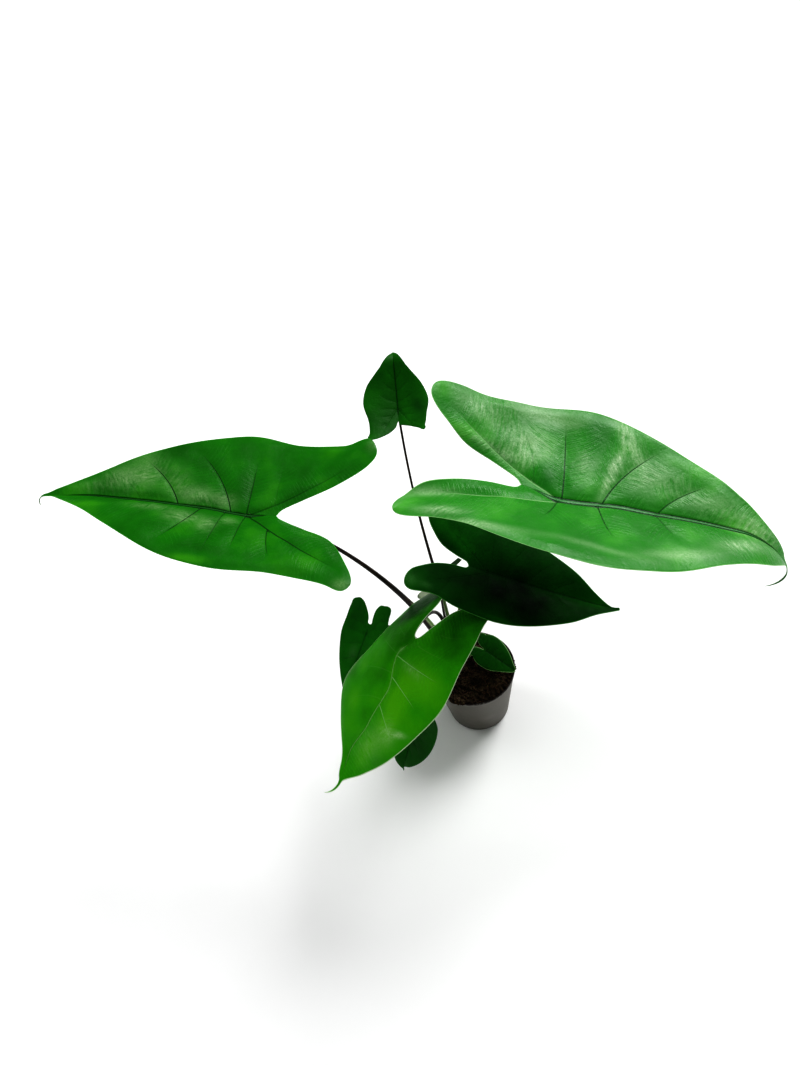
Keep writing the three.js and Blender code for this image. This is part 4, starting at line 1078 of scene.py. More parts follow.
def under_material(name, green, vein, light):
    """Living aroid leaf, lower side: matt and paler than the upper, with proud pale green veins, and
    lighter where the tone is high."""
    material, tree, shader = new_material(name)
    place = add_node(tree, PLACE, out="Object")
    kept = {key: add_node(tree, ATTRIBUTE, out="Fac", attribute_name=key) for key in BLADE_VALUES}
    clouds = add_node(tree, NOISE, {"Vector": place, "Scale": 40.0, "Detail": 3.0})
    deep = tuple(0.72 * c for c in green[:3]) + (1.0,)
    colour = add_node(tree, MIX, {SHARE: clouds, FIRST: deep, SECOND: green}, **COLOURS)
    share = add_node(tree, RANGE, {"Value": kept["tone"], "From Min": 0.3, "From Max": 1.0}, **SOFT)
    colour = add_node(tree, MIX, {SHARE: share, FIRST: colour, SECOND: light}, **COLOURS)
    near = add_node(tree, RANGE, {"Value": kept["vein_gap"], "From Min": 3.4, "From Max": 2.4}, **SOFT)
    for key, shown in (("vein", near), ("rib", 1.0)):
        off = add_node(tree, MATH, {0: kept[key]}, operation="ABSOLUTE")
        share = add_node(tree, MATH, {0: off, 1: kept[key + "_width"]}, operation="DIVIDE")
        share = add_node(tree, RANGE, {"Value": share, "From Min": 1.8, "From Max": 0.7}, **SOFT)
        share = add_node(tree, MATH, {0: share, 1: shown}, operation="MULTIPLY")
        colour = add_node(tree, MIX, {SHARE: share, FIRST: colour, SECOND: vein}, **COLOURS)
    grain = add_node(tree, NOISE, {"Vector": place, "Scale": 700.0, "Detail": 2.0})
    height = add_node(tree, MATH, {0: grain, 1: 0.00012}, operation="MULTIPLY")
    bump = add_node(tree, BUMP, {"Height": height, "Strength": 1.0, "Distance": 1.0})
    fill(tree, shader, {
        "Base Color": colour, "Normal": bump, "Roughness": 0.6, "Specular IOR Level": 0.3})
    return material


def petiole_material(name, dark, streak, pale, green):
    """Black stem petiole: smooth and near black, with brown streaks along it, a pale green sheath
    lined with cream at its margins, and a green flush right under the blade."""
    material, tree, shader = new_material(name)
    # The skin's values are millimetres across the stem and along it, and streaks are 13 times longer
    # along it
    skin = add_node(tree, ATTRIBUTE, out="Vector", attribute_name="skin")
    skin = add_node(tree, "ShaderNodeMapping", {"Vector": skin, "Scale": (0.9, 0.9, 0.07)})
    streaks = add_node(tree, NOISE, {"Vector": skin, "Scale": 1.0, "Detail": 4.0, "Roughness": 0.65})
    share = add_node(tree, RANGE, {"Value": streaks, "From Min": 0.48, "From Max": 0.72}, **SOFT)
    colour = add_node(tree, MIX, {SHARE: share, FIRST: dark, SECOND: streak}, **COLOURS)
    head = add_node(tree, ATTRIBUTE, out="Fac", attribute_name="along")
    head = add_node(tree, RANGE, {"Value": head, "From Min": 0.965, "From Max": 1.0}, **SOFT)
    sheath = add_node(tree, ATTRIBUTE, out="Fac", attribute_name="sheath")
    edge = add_node(tree, ATTRIBUTE, out="Fac", attribute_name="sheath_edge")
    for share, shade in ((head, green), (sheath, green), (edge, pale)):
        colour = add_node(tree, MIX, {SHARE: share, FIRST: colour, SECOND: shade}, **COLOURS)
    height = add_node(tree, MATH, {0: streaks, 1: 0.0002}, operation="MULTIPLY")
    bump = add_node(tree, BUMP, {"Height": height, "Strength": 1.0, "Distance": 1.0})
    fill(tree, shader, {
        "Base Color": colour, "Normal": bump, "Roughness": 0.42, "Specular IOR Level": 0.3})
    return material


def earth_material(name, darkest, lightest, grain, fleck=None):
    """Moist peat potting soil, and dry fibre and bark: dull, nearly black in its hollows, with brown
    grains and pale flecks. The grain is a noise scale."""
    material, tree, shader = new_material(name)
    place = add_node(tree, PLACE, out="Object")
    tone = add_node(tree, ATTRIBUTE, out="Fac", attribute_name="tone")
    fine = add_node(tree, NOISE, {"Vector": place, "Scale": grain, "Detail": 6.0, "Roughness": 0.7})
    wide = add_node(tree, NOISE, {"Vector": place, "Scale": grain / 9, "Detail": 3.0})
    both = add_node(tree, MATH, {0: fine, 1: wide}, operation="MULTIPLY")
    share = add_node(tree, RANGE, {"Value": both, "From Min": 0.16, "From Max": 0.46}, **SOFT)
    share = add_node(tree, MATH, {0: share, 1: tone}, operation="ADD", use_clamp=True)
    colour = add_node(tree, MIX, {SHARE: share, FIRST: darkest, SECOND: lightest}, **COLOURS)
    if fleck:
        spot = add_node(
            tree, "ShaderNodeTexVoronoi", {"Vector": place, "Scale": grain * 0.6}, out="Distance")
        spot = add_node(tree, RANGE, {
            "Value": spot, "From Min": 0.14, "From Max": 0.07, "To Max": 0.3}, **SOFT)
        colour = add_node(tree, MIX, {SHARE: spot, FIRST: colour, SECOND: fleck}, **COLOURS)
    height = add_node(tree, MATH, {0: fine, 1: 0.0012}, operation="MULTIPLY")
    bump = add_node(tree, BUMP, {"Height": height, "Strength": 1.0, "Distance": 1.0})
    fill(tree, shader, {
        "Base Color": colour, "Normal": bump, "Roughness": 0.95, "Specular IOR Level": 0.12})
    return material


def pot_material(name, grey, worn, dust):
    """Injection moulded polypropylene: matt dark grey with a faint haze, rubbed paler here and there,
    a fine spark-eroded texture, and soil dust on the rim."""
    material, tree, shader = new_material(name)
    place = add_node(tree, PLACE, out="Object")
    haze = add_node(tree, NOISE, {"Vector": place, "Scale": 35.0, "Detail": 5.0})
    share = add_node(tree, RANGE, {"Value": haze, "From Min": 0.45, "From Max": 0.75}, **SOFT)
    colour = add_node(tree, MIX, {SHARE: share, FIRST: grey, SECOND: worn}, **COLOURS)
    # Dust on the top 7 mm, thickest at the very rim, in grains of a few millimetres
    top = POT_HEIGHT * MM
    high = add_node(tree, "ShaderNodeSeparateXYZ", {0: place}, out="Z")
    high = add_node(tree, RANGE, {
        "Value": high, "From Min": top - 0.007, "From Max": top, "To Max": 0.5})
    specks = add_node(tree, NOISE, {"Vector": place, "Scale": 260.0, "Detail": 5.0, "Roughness": 0.7})
    share = add_node(tree, MATH, {0: specks, 1: high}, operation="ADD")
    share = add_node(tree, RANGE, {"Value": share, "From Min": 0.72, "From Max": 0.95}, **SOFT)
    colour = add_node(tree, MIX, {SHARE: share, FIRST: colour, SECOND: dust}, **COLOURS)
    # Real texture is about 0.1 mm, drawn at 0.6 mm so that it still shows
    grit = add_node(tree, NOISE, {"Vector": place, "Scale": 1600.0, "Detail": 1.0})
    height = add_node(tree, MATH, {0: grit, 1: 0.00006}, operation="MULTIPLY")
    bump = add_node(tree, BUMP, {"Height": height, "Strength": 1.0, "Distance": 1.0})
    fill(tree, shader, {
        "Base Color": colour, "Normal": bump, "Roughness": 0.48, "Specular IOR Level": 0.4, "IOR": 1.49})
    return material


def stage_material(name, colour):
    """Matt painted board."""
    material, tree, shader = new_material(name)
    fill(tree, shader, {"Base Color": colour, "Roughness": 0.9, "Specular IOR Level": 0.0})
    return material


# Colours of each blade's upper side that its settings leave out, as sRGB: deep and bright tissue, which
# also paint shade and light where the tones call for it, the painted sheen, a pale highlight, veins,
# the costas in the lobes, the midrib's channels, rib and margin, and for one leaf the light part of its
# underside. Then shares and sizes: how much the fine side veins, painted sheen, veins and midrib show,
# the margin's width in millimetres, roughness and shine.
SMALL_LEAF = dict(
    deep="#06280a", bright="#1c6a14", wax="#6f9568", vein="#0c3c10", costa="#0c3c10", channel="#0c3c10",
    rib="#174f1a", edge="#2f6a2c", fine=0.04, painted_sheen_amount=0.4, veins=0.12, ribs=0.3, margin=0.5, gloss=0.42,
    shine=0.08)
LOOKS = {
    "left": dict(
        deep="#0a3d07", bright="#3f9412", wax="#8fae7c", vein="#0b330d", costa="#0b330d",
        channel="#0a2f0d", rib="#235c24", edge="#3f9a2c", fine=0.2, painted_sheen_amount=0.72, veins=0.95, ribs=1.0,
        margin=0.8, gloss=0.36, shine=0.2),
    "right": dict(
        deep="#156018", bright="#5cb040", wax="#b0cda2", vein="#17461b", costa="#74a868",
        channel="#123c17", rib="#35783a", edge="#8cc27c", fine=0.3, painted_sheen_amount=0.85, veins=1.0, ribs=1.0,
        margin=0.9, gloss=0.36, shine=0.3),
    "back": {
        **SMALL_LEAF, "bright": "#1f7014", "wax": "#7f9f70", "vein": "#0a3a0c", "costa": "#0a3a0c",
        "channel": "#06240a", "rib": "#0f450f", "edge": "#1c5a1e", "veins": 0.1, "ribs": 0.6,
        "shine": 0.1},
    "middle": dict(
        deep="#021803", bright="#1f6a14", wax="#5f8f58", vein="#04200a", costa="#04200a",
        channel="#04200a", rib="#083208", edge="#4a8a40", fine=0.02, painted_sheen_amount=0.5, veins=0.08, ribs=0.25,
        margin=1.1, gloss=0.42, shine=0.03),
    "front": dict(
        deep="#083c06", bright="#55ad14", wax="#b4d69c", vein="#8cc878", costa="#2f8414",
        channel="#5aa838", rib="#8cc878", edge="#cfe6bf", fine=0.26, painted_sheen_amount=0.9, veins=0.85, ribs=0.55,
        margin=1.2, gloss=0.42, shine=0.05),
    "front_left": {**SMALL_LEAF, "bright": "#2a7f1c", "painted_sheen_amount": 0.6},
    "low": SMALL_LEAF,
    "basal": {
        **SMALL_LEAF, "deep": "#04200a", "bright": "#1c5a14", "edge": "#7fa96c", "veins": 0.15,
        "margin": 0.9},
    "young": dict(
        deep="#124010", bright="#dfe8cf", wax="#c3d3b4", vein="#2a6a24", costa="#2a6a24",
        channel="#2a6a24", rib="#3f7f3a", edge="#9fbf8c", under="#d8e3c8", fine=0.1, painted_sheen_amount=0.8,
        veins=0.3, ribs=0.5, margin=0.8, gloss=0.40, shine=0.2),
}


# Settings

def colour_property(label, description, hex_colour):
    return bpy.props.FloatVectorProperty(
        name=label, description=description, default=linear(hex_colour), size=4, subtype="COLOR",
        min=0, max=1)


def length_property(label, description, metres):
    return bpy.props.FloatProperty(
        name=label, description=description, default=metres, min=0, subtype="DISTANCE", unit="LENGTH")


def strength_property(label, description, amount):
    return bpy.props.FloatProperty(name=label, description=description, default=amount)


def count_property(label, description, count):
    return bpy.props.IntProperty(name=label, description=description, default=count, min=0)


class AlocasiaPotSettings(bpy.types.PropertyGroup):
    """The nursery pot"""
    grey: colour_property("Plastic", "Colour of the moulded plastic", "#65625a")
    worn: colour_property("Haze", "Colour where the plastic is rubbed", "#6e6b63")
    lip: length_property("Lip round", "Radius of the rounded rim edge", 0.0005)


class AlocasiaSoilSettings(bpy.types.PropertyGroup):
    """The potting soil and what lies in it"""
    dark: colour_property("Wet soil", "Colour in the soil's hollows", "#231c15")
    light: colour_property("Dry soil", "Colour of the soil's high places", "#564735")
    fibre: colour_property("Fibre", "Colour of the coir and bark fibres", "#7d6049")
    crumbs: count_property("Crumbs", "Loose crumbs on the soil", 1500)
    fibres: count_property("Fibres", "Loose fibres on the soil", 260)
    lumpiness: length_property("Lumpiness", "Height of the soil's small lumps", 0.0022)


class AlocasiaPetioleSettings(bpy.types.PropertyGroup):
    """The leaf stalks"""
    dark: colour_property("Stem", "Main colour of the stalks", "#1a1410")
    streak: colour_property("Streaks", "Colour of the streaks along the stalks", "#483829")
    sheath: colour_property("Sheath", "Colour inside the sheath", "#6f8f57")
    margin: colour_property("Sheath margin", "Colour of the sheath's thin margins", "#b9c79b")


class AlocasiaBladeSettings(bpy.types.PropertyGroup):
    """The blades of all leaves"""
    thickness: length_property("Thickness", "Thickness of a blade", 0.0008)
    vein_depth: length_property("Vein depth", "Depth of the channels at the veins", 0.0009)
    quilting: strength_property("Quilting", "How much blades dome between veins", 1)
    margin_wave: length_property("Margin wave", "Height of the waves along the margin", 0.0009)
    left: colour_property("Left leaf", "Green of the big left leaf", "#1a6b0d")
    right: colour_property("Right leaf", "Green of the big right leaf", "#2a8020")
    back: colour_property("Back leaf", "Green of the leaf at the back", "#195c0f")
    middle: colour_property("Middle leaf", "Green of the dark middle leaf", "#0c440b")
    front: colour_property("Front leaf", "Green of the leaf that hangs in front", "#37980f")
    front_left: colour_property("Front left leaf", "Green of the small front left leaf", "#1e6a16")
    low: colour_property("Low leaf", "Green of the low leaf", "#1a5e14")
    basal: colour_property("Basal leaf", "Green of the leaf over the soil", "#164f10")
    young: colour_property("Young leaf", "Green of the youngest leaf", "#23601a")


class AlocasiaStageSettings(bpy.types.PropertyGroup):
    """Floor, light and camera"""
    floor: colour_property("Floor", "Colour of the floor", "#f4f4f4")
    key: strength_property("Key light", "Strength of the light from behind", 2.0)
    side: strength_property("Side light", "Strength of the light from the left", 0.5)
    top: strength_property("Top light", "Strength of the light from above", 1.2)
    room: strength_property("Room light", "Strength of the room's even light", 0.09)


# Operators

def pot_wall(height):
    """The radius of the pot's tapered outside at a height."""
    return POT_BASE_RADIUS + (POT_TOP_RADIUS - POT_BASE_RADIUS) / POT_HEIGHT * height


class ALOCASIA_OT_pot(bpy.types.Operator):
    """Build the nursery pot as one turned shell with drainage holes"""
    bl_idname = "alocasia.build_pot"
    bl_label = "Build Pot"

    def execute(self, context):
        settings = context.scene.alocasia_pot
        lip = settings.lip / MM
        inner = lambda height: pot_wall(height) - POT_WALL
        rim_foot = POT_HEIGHT - RIM_HEIGHT
        rim = pot_wall(POT_HEIGHT) + RIM_PROUD - 0.4
        profile = [
            (0, 0), (POT_BASE_RADIUS - 4, 0), (POT_BASE_RADIUS - 1.5, 0), (POT_BASE_RADIUS - 0.5, 0.4),
            (pot_wall(1.5), 1.5), (pot_wall(4), 4), (pot_wall(rim_foot - 3), rim_foot - 3),
            (pot_wall(rim_foot - 0.6), rim_foot - 0.6),
            (pot_wall(rim_foot) + 0.75 * RIM_PROUD, rim_foot - 0.1),
            (pot_wall(rim_foot) + RIM_PROUD, rim_foot + 0.4),
            (pot_wall(POT_HEIGHT - 1) + RIM_PROUD, POT_HEIGHT - 1),
            (rim, POT_HEIGHT - lip), (rim - 0.3 * lip, POT_HEIGHT - 0.3 * lip), (rim - lip, POT_HEIGHT),
            (inner(POT_HEIGHT) + lip, POT_HEIGHT), (inner(POT_HEIGHT), POT_HEIGHT - lip),
            (inner(POT_FLOOR + 4), POT_FLOOR + 4), (inner(POT_FLOOR + 2), POT_FLOOR + 2),
            (inner(POT_FLOOR) - 2, POT_FLOOR), (0, POT_FLOOR),
        ]
        radius, height = np.array(profile).T[:, :, None]
        points = turned(radius, np.linspace(0, 2 * np.pi, 145), height)
        faces = grid_faces(numbered(points))[:, ::-1]
        material = pot_material(
            "Polypropylene_matt_dark_grey", settings.grey, settings.worn, linear("#1a120c"))
        pot = make_piece("nursery_pot", points.reshape(-1, 3), faces, [material], ["pot"])
        cutter = self.drains()
        cut = pot.modifiers.new("drainage", "BOOLEAN")
        cut.operation, cut.solver, cut.object = "DIFFERENCE", "EXACT", cutter
        graph = context.evaluated_depsgraph_get()
        made = bpy.data.meshes.new_from_object(pot.evaluated_get(graph))
        pot.modifiers.clear()
        pot.data = made
        bpy.data.objects.remove(cutter)
        return {"FINISHED"}

    def drains(self):
        """A ring of short cylinders through the pot's floor."""
        tool = bmesh.new()
        turns = 2 * np.pi * (np.arange(DRAIN_HOLES) + 0.5) / DRAIN_HOLES
        for place in turned(DRAIN_CIRCLE_RADIUS, turns, 0.0):
            spot = Vector(place) * MM
            bmesh.ops.create_cone(
                tool, segments=32, radius1=DRAIN_HOLE_RADIUS * MM, radius2=DRAIN_HOLE_RADIUS * MM,
                depth=4 * POT_FLOOR * MM, cap_ends=True, matrix=Matrix.Translation(spot))
        mesh = bpy.data.meshes.new("drain_cutter")
        tool.to_mesh(mesh)
        tool.free()
        cutter = bpy.data.objects.new("drain_cutter", mesh)
        bpy.context.scene.collection.objects.link(cutter)
        return cutter


def soil_height(x, y):
    """The soil's top: an edge height, a mound that falls as 1 - r^3, and seeded bumps that each fall as
    exp(-(d / size)^2)."""
    random = seeded_random(12)
    share = np.minimum(1, np.hypot(x, y) / POT_TOP_RADIUS)
    height = SOIL_EDGE_HEIGHT + SOIL_MOUND * (1 - share**3)
    for _ in range(SOIL_BUMPS):
        angle = 2 * np.pi * next(random)
        radius = (POT_TOP_RADIUS - 8) * np.sqrt(next(random))
        size = blend(5, 11, next(random))
        bump = SOIL_BUMP * blend(-1, 1.6, next(random))
        distance = np.hypot(x - radius * np.cos(angle), y - radius * np.sin(angle)) / size
        height = height + bump * np.exp(-distance**2)
    return height


def fine_soil(x, y, lumpiness):
    """Small lumps of 7, 3.2 and 1.5 mm on the soil, the larger ones pinched into clods."""
    clods = 1 - np.abs(value_noise(x, y, 7.0, 3)) * 1.6
    lumps, grains = value_noise(x, y, 3.2, 5), value_noise(x, y, 1.5, 8)
    return lumpiness * (0.9 * clods + 0.7 * lumps + 0.4 * grains - 0.6)


def soil_lumps(count, seed, level, sizes, places):
    """Irregular crumbs: one icosphere, stretched, turned and dented differently for each of them."""
    ball = bmesh.new()
    bmesh.ops.create_icosphere(ball, subdivisions=level, radius=1)
    shape = np.array([vertex.co for vertex in ball.verts])
    facets = np.array([[vertex.index for vertex in face.verts] for face in ball.faces])
    ball.free()
    random = np.random.default_rng(seed)
    stretch = random.uniform(0.6, 1.25, (count, 1, 3))
    dents = random.uniform(0.75, 1.2, (count, len(shape), 1))
    turn, _ = np.linalg.qr(random.normal(size=(count, 3, 3)))
    turn = turn * np.sign(np.linalg.det(turn))[:, None, None]
    points = np.einsum("nvk,nkj->nvj", shape[None] * stretch * dents, turn)
    points = points * sizes[:, None, None] + places[:, None]
    faces = facets[None] + (np.arange(count) * len(shape))[:, None, None]
    tone = np.repeat(random.uniform(-0.15, 0.5, count) ** 3 * 2, len(shape))
    return points.reshape(-1, 3), faces.reshape(-1, 3), tone


class ALOCASIA_OT_soil(bpy.types.Operator):
    """Build the potting soil with its clods, crumbs and fibres"""
    bl_idname = "alocasia.build_soil"
    bl_label = "Build Soil"

    def execute(self, context):
        settings = context.scene.alocasia_soil
        lumpiness = settings.lumpiness / MM
        earth = earth_material(
            "Peat_potting_soil_moist", settings.dark, settings.light, 420.0, linear("#75614a"))
        self.body(earth, lumpiness)
        self.crumbs(earth, lumpiness, settings.crumbs)
        self.fibres(settings, lumpiness)
        return {"FINISHED"}

    def body(self, earth, lumpiness):
        """The soil as one closed turned body whose top is the soil height with small lumps on it."""
        wall = lambda height: pot_wall(height) - POT_WALL - SOIL_GAP
        segments, rings = 240, 90
        angle = np.linspace(0, 2 * np.pi, segments + 1)[None, :]
        edge = wall(SOIL_EDGE_HEIGHT)
        radius = edge * np.linspace(0, 1, rings + 1)[:, None]
        top = turned(radius, angle, 0.0)
        top[:, -1] = top[:, 0]
        x, y = top[..., 0], top[..., 1]
        z = soil_height(x, y) + fine_soil(x, y, lumpiness)
        top[..., 2] = np.where(radius > edge - 0.01, np.minimum(z, POT_HEIGHT - 0.2), z)
        sides = [(wall(60), 60.0), (wall(SOIL_FOOT + 2) - 0.6, SOIL_FOOT + 2),
                 (wall(SOIL_FOOT) - 2.6, SOIL_FOOT), (0.0, SOIL_FOOT)]
        points = np.concatenate([top, *(turned(reach, angle, height) for reach, height in sides)])
        index = numbered(points)
        make_piece("potting_soil", points.reshape(-1, 3), grid_faces(index), [earth], ["soil"],
                   numbers={"tone": np.zeros(index.size)})

    def crumbs(self, earth, lumpiness, count):
        """Crumbs scattered over the soil, a heap of them over the rim at the front left, and a few
        stuck to the rim and the wall."""
        random = np.random.default_rng(21)
        angle = random.uniform(0, 2 * np.pi, count)
        radius = CRUMB_REACH * np.sqrt(random.uniform(0, 1, count))
        banked = count // 4
        radius[:banked] = random.uniform(*BANK_REACH, banked)
        x, y = radius * np.cos(angle), radius * np.sin(angle)
        size = 0.5 + 2.6 * random.uniform(0, 1, count) ** 4
        z = soil_height(x, y) + fine_soil(x, y, lumpiness) + 0.25 * size
        z = z + BANK_HEIGHT * eased(radius, BANK_REACH[0] - 1, BANK_REACH[1] - 1)
        turn = np.radians(HEAP_ANGLE + random.normal(0, 8, HEAP_CRUMBS))
        out = POT_TOP_RADIUS - 2.0 + random.normal(0, 2.2, HEAP_CRUMBS)
        out = np.minimum(out, POT_TOP_RADIUS + 2.5)
        heap_size = random.uniform(0.9, 2.9, HEAP_CRUMBS)
        pile = np.exp(-((out - POT_TOP_RADIUS + 2) / 4) ** 2)
        over = POT_HEIGHT + random.uniform(-0.4, 3.2, HEAP_CRUMBS) * pile
        stuck = np.radians(random.normal(STUCK_ANGLE, 5, STUCK_CRUMBS))
        reach = POT_TOP_RADIUS + RIM_PROUD + 0.2
        x = np.concatenate([x, out * np.cos(turn), reach * np.cos(stuck)])
        y = np.concatenate([y, out * np.sin(turn), reach * np.sin(stuck)])
        z = np.concatenate([z, over, POT_HEIGHT - random.uniform(0, 5, STUCK_CRUMBS)])
        size = np.concatenate([size, heap_size, random.uniform(0.7, 1.8, STUCK_CRUMBS)])
        points, faces, tone = soil_lumps(len(x), 4, 1, size, np.stack([x, y, z], -1))
        make_piece("soil_crumbs", points, faces, [earth], numbers={"tone": tone})

    def fibres(self, settings, lumpiness):
        """Short bent strands of coir and bark on the soil, each a thin tube along an arc."""
        strand = earth_material("Coir_and_bark_fibre_dry", linear("#2a1a11"), settings.fibre, 900.0)
        random = np.random.default_rng(33)
        points, faces, tones, count = [], [], [], 0
        for _ in range(settings.fibres):
            angle, reach = random.uniform(0, 2 * np.pi), FIBRE_REACH * np.sqrt(random.uniform())
            length, thick = random.uniform(4, 17), random.uniform(0.12, 0.38)
            heading, bend = random.uniform(0, 2 * np.pi), random.normal(0, 0.9)
            run = np.linspace(-0.5, 0.5, FIBRE_STEPS)
            way = heading + bend * run
            step = np.stack([np.cos(way), np.sin(way)], -1) * length / (FIBRE_STEPS - 1)
            path = np.array([reach * np.cos(angle), reach * np.sin(angle)]) + np.cumsum(step, axis=0)
            x, y = path.T
            inside = np.minimum(1, (FIBRE_REACH + 2) / np.maximum(np.hypot(x, y), 1))
            x, y = x * inside, y * inside
            ground = soil_height(x, y) + fine_soil(x, y, lumpiness)
            arch = random.uniform(0, 1.2) * (1 - (2 * run) ** 2)
            z = np.maximum(ground.mean(), ground) * 0.5 + ground * 0.5 + 0.5 + arch
            tube, tube_faces = thin_tube(
                np.stack([x, y, z], -1), np.full(FIBRE_STEPS, thick), FIBRE_SIDES)
            points.append(tube)
            faces.append(tube_faces + count)
            tones.append(np.full(len(tube), random.uniform(-0.3, 0.5)))
            count += len(tube)
        make_piece("soil_fibres", np.concatenate(points), np.concatenate(faces), [strand],
                   numbers={"tone": np.concatenate(tones)})


def thin_tube(path, radius, sides):
    """A round profile of the given radius at each point of a path, closed at both ends by drawing the
    last rings together. Returns points and quads."""
    tangent = unit(np.gradient(path, axis=0))
    guide = np.where(np.abs(tangent[:, 2:]) > 0.9, [[1.0, 0, 0]], [[0, 0, 1.0]])
    across = unit(np.cross(tangent, guide))
    up = np.cross(across, tangent)
    angle = np.linspace(0, 2 * np.pi, sides, endpoint=False)
    rim = across[:, None] * np.cos(angle)[None, :, None] + up[:, None] * np.sin(angle)[None, :, None]
    ring = path[:, None] + rim * np.asarray(radius)[:, None, None]
    start = np.repeat(path[:1, None], sides, axis=1)
    end = np.repeat(path[-1:, None], sides, axis=1)
    ring = np.concatenate([start, ring, end])
    index = numbered(ring)
    faces = grid_faces(np.concatenate([index, index[:, :1]], axis=1))[:, ::-1]
    return ring.reshape(-1, 3), faces


class ALOCASIA_OT_corm(bpy.types.Operator):
    """Build the corm and its roots inside the soil"""
    bl_idname = "alocasia.build_corm"
    bl_label = "Build Corm and Roots"

    def execute(self, context):
        bark = earth_material("Corm_and_root_bark", linear("#3b2a1c"), linear("#8a6b49"), 260.0)
        radius, height = along_path(catmull_rom(CORM_PROFILE), np.linspace(0, 1, 60)).T
        radius = np.maximum(radius, 0)
        angle = np.linspace(0, 2 * np.pi, 73)[None, :]
        # Leaf scars ring it, and five low ribs run down it
        scars = 0.5 * np.sin(height * 1.9) * eased(radius, 3, 8)
        ribs = 0.5 * np.sin(5 * angle) * eased(radius, 3, 8)[:, None]
        level = np.minimum(height, CORM_TOP)[:, None]
        body = turned(radius[:, None] + scars[:, None] + ribs, angle, level) + [*CROWN, 0]
        index = numbered(body)
        points, faces, count = [body.reshape(-1, 3)], [grid_faces(index)[:, ::-1]], index.size
        random = seeded_random(31)
        for i in range(ROOTS):
            turn = 2 * np.pi * (i + 0.6 * next(random)) / ROOTS
            spread = blend(22, 30, next(random))
            way = np.array([np.cos(turn), np.sin(turn), 0])
            foot = np.array([*CROWN, ROOT_START])
            knee = foot + way * 0.8 * spread
            knee[2] = blend(ROOT_START - 10, ROOT_START, next(random))
            tip = foot * 0.4 + way * 1.1 * spread
            tip[2] = ROOT_DEPTH + 12 * next(random)
            path = bezier([foot, knee, tip], ROOT_STEPS)
            thick = ROOT_RADIUS * blend(1.0, 0.45, np.linspace(0, 1, ROOT_STEPS))
            tube, tube_faces = thin_tube(path, thick, 10)
            points.append(tube)
            faces.append(tube_faces + count)
            count += len(tube)
        points = np.concatenate(points)
        make_piece("corm_with_roots", points, np.concatenate(faces), [bark],
                   ["corm_and_roots"], numbers={"tone": np.zeros(len(points))})
        return {"FINISHED"}


class ALOCASIA_OT_petioles(bpy.types.Operator):
    """Build the nine dark petioles"""
    bl_idname = "alocasia.build_petioles"
    bl_label = "Build Petioles"

    def execute(self, context):
        settings = context.scene.alocasia_petioles
        stem = petiole_material(
            "Petiole_skin_black", settings.dark, settings.streak, settings.margin, settings.sheath)
        for name, leaf in LEAVES.items():
            points, faces, numbers, vectors = petiole_mesh(leaf)
            make_piece(f"stalk_{name}", points, np.array(faces, object), [stem],
                       [f"petiole_{name}"], numbers=numbers, vectors=vectors)
        return {"FINISHED"}


class ALOCASIA_OT_blades(bpy.types.Operator):
    """Build the nine blades with their veins"""
    bl_idname = "alocasia.build_blades"
    bl_label = "Build Blades"

    def execute(self, context):
        settings = context.scene.alocasia_blades
        for name, leaf in LEAVES.items():
            look = {
                key: linear(value) if isinstance(value, str) else value
                for key, value in LOOKS[name].items()}
            green = tuple(getattr(settings, name))
            pale = tuple(blend(c, 0.16, 0.22) for c in green[:3]) + (1.0,)
            top = blade_material(f"Leaf_cuticle_{name}", {**look, "green": green})
            below = under_material(
                f"Leaf_underside_{name}", pale, linear("#7ba063"), look.get("under", pale))
            points, faces, kinds, numbers = blade_mesh(leaf, settings)
            make_piece(f"leaf_{name}", points, faces, [top, below], [f"blade_{name}"],
                       numbers=numbers, face_materials=kinds.astype(int))
        return {"FINISHED"}


# A round floor, its radius in metres
FLOOR_RADIUS = 40
FLOOR_SIDES = 64

# The photograph's camera, fitted to the pot: millimetres and degrees
CAMERA_PLACE = (-54.49, -602.60, 1109.34)
CAMERA_DOWN = 48.5
CAMERA_ROLL = 14.0
FOCAL_PIXELS = 800.0
LONG_SIDE_PIXELS = 1065.0
SENSOR_MM = 36.0


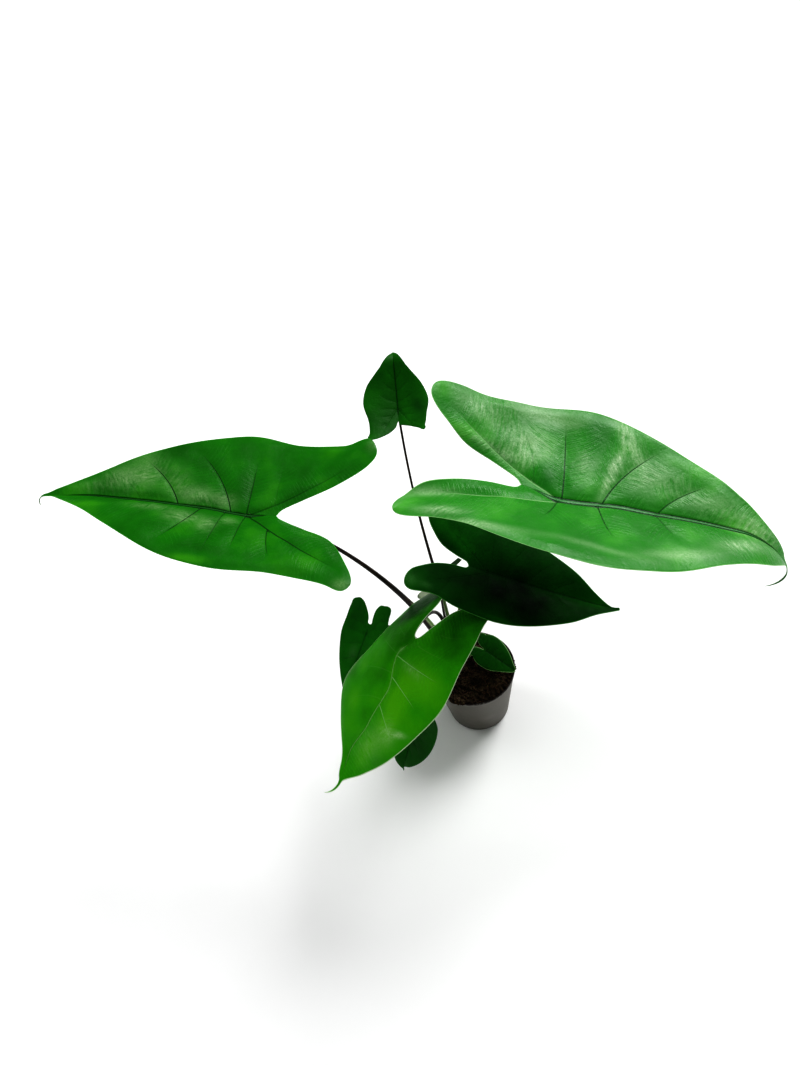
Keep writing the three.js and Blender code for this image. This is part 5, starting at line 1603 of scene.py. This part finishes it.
class ALOCASIA_OT_stage(bpy.types.Operator):
    """Lay a plain pale floor, light it softly and set up the camera"""
    bl_idname = "alocasia.build_stage"
    bl_label = "Build Stage"

    def execute(self, context):
        settings = context.scene.alocasia_stage
        angle = np.linspace(0, 2 * np.pi, FLOOR_SIDES, endpoint=False)
        rim = turned(FLOOR_RADIUS, angle, 0.0)
        mesh = bpy.data.meshes.new("floor")
        mesh.from_pydata(rim.tolist(), [], [list(range(FLOOR_SIDES))])
        mesh.materials.append(stage_material("Painted_board_pale", settings.floor))
        floor = bpy.data.objects.new("floor", mesh)
        context.scene.collection.objects.link(floor)
        floor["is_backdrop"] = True
        self.sun("window_behind", (0.60, 0.46, 0.65), 30, settings.key)
        for name, source, spread, strength in (
                ("window_left", (-0.62, 0.42, 0.66), 24, settings.side),
                ("ceiling", (0.05, 0.05, 1.0), 70, settings.top)):
            self.sun(name, source, spread, strength).visible_glossy = False
        self.sky(context)
        self.camera(context)
        context.scene.view_settings.view_transform = "Standard"
        context.scene.view_settings.look = "High Contrast"
        return {"FINISHED"}

    def sun(self, name, source, spread, strength):
        """A soft light from the direction of source, as wide as spread in degrees."""
        light = bpy.data.lights.new(name, "SUN")
        light.energy, light.angle = strength, np.radians(spread)
        lamp = bpy.data.objects.new(name, light)
        lamp.rotation_mode = "QUATERNION"
        lamp.rotation_quaternion = Vector(source).to_track_quat("Z", "Y")
        bpy.context.scene.collection.objects.link(lamp)
        return lamp

    def sky(self, context):
        """A dim, even room."""
        world = bpy.data.worlds.new("studio")
        world.use_nodes = True
        tree = world.node_tree
        tree.nodes.clear()
        room = context.scene.alocasia_stage.room
        light = add_node(tree, "ShaderNodeBackground", {"Color": (1, 1, 1, 1), "Strength": room})
        add_node(tree, "ShaderNodeOutputWorld", {"Surface": light})
        context.scene.world = world

    def camera(self, context):
        """A camera at the photograph's place: it looks along +Y, down, and is rolled about its axis."""
        lens = bpy.data.cameras.new("photo_camera")
        lens.sensor_width = SENSOR_MM
        lens.lens = FOCAL_PIXELS * SENSOR_MM / LONG_SIDE_PIXELS
        lens.clip_start, lens.clip_end = 0.05, 100
        camera = bpy.data.objects.new("photo_camera", lens)
        tip = Matrix.Rotation(np.radians(90 - CAMERA_DOWN), 4, "X")
        roll = Matrix.Rotation(np.radians(-CAMERA_ROLL), 4, "Z")
        camera.matrix_world = Matrix.Translation(Vector(CAMERA_PLACE) * MM) @ tip @ roll
        context.scene.collection.objects.link(camera)
        context.scene.camera = camera


SETTINGS = {
    "alocasia_pot": AlocasiaPotSettings,
    "alocasia_soil": AlocasiaSoilSettings,
    "alocasia_petioles": AlocasiaPetioleSettings,
    "alocasia_blades": AlocasiaBladeSettings,
    "alocasia_stage": AlocasiaStageSettings,
}
OPERATORS = (
    ALOCASIA_OT_stage, ALOCASIA_OT_pot, ALOCASIA_OT_soil, ALOCASIA_OT_corm, ALOCASIA_OT_petioles,
    ALOCASIA_OT_blades,
)


class ALOCASIA_PT_panel(bpy.types.Panel):
    """The pieces of the plant and their settings"""
    bl_idname = "ALOCASIA_PT_panel"
    bl_label = "Potted Alocasia"
    bl_space_type = "VIEW_3D"
    bl_region_type = "UI"
    bl_category = "Alocasia"

    def draw(self, context):
        for operator in OPERATORS:
            self.layout.operator(operator.bl_idname)
        for key in SETTINGS:
            box = self.layout.box()
            group = getattr(context.scene, key)
            for entry in group.bl_rna.properties:
                if entry.identifier not in ("rna_type", "name"):
                    box.prop(group, entry.identifier)


def register():
    for group in SETTINGS.values():
        bpy.utils.register_class(group)
    for key, group in SETTINGS.items():
        setattr(bpy.types.Scene, key, bpy.props.PointerProperty(type=group))
    for operator in OPERATORS:
        bpy.utils.register_class(operator)
    bpy.utils.register_class(ALOCASIA_PT_panel)


def unregister():
    bpy.utils.unregister_class(ALOCASIA_PT_panel)
    for operator in reversed(OPERATORS):
        bpy.utils.unregister_class(operator)
    for key in SETTINGS:
        delattr(bpy.types.Scene, key)
    for group in reversed(SETTINGS.values()):
        bpy.utils.unregister_class(group)


def main():
    register()
    bpy.ops.alocasia.build_stage()
    bpy.ops.alocasia.build_pot()
    bpy.ops.alocasia.build_soil()
    bpy.ops.alocasia.build_corm()
    bpy.ops.alocasia.build_petioles()
    bpy.ops.alocasia.build_blades()
    sizes = {
        "cad": [list(corner) for corner in CAD_BOX], "visual": [list(corner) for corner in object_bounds()]}


if __name__ == "__main__":
    main()
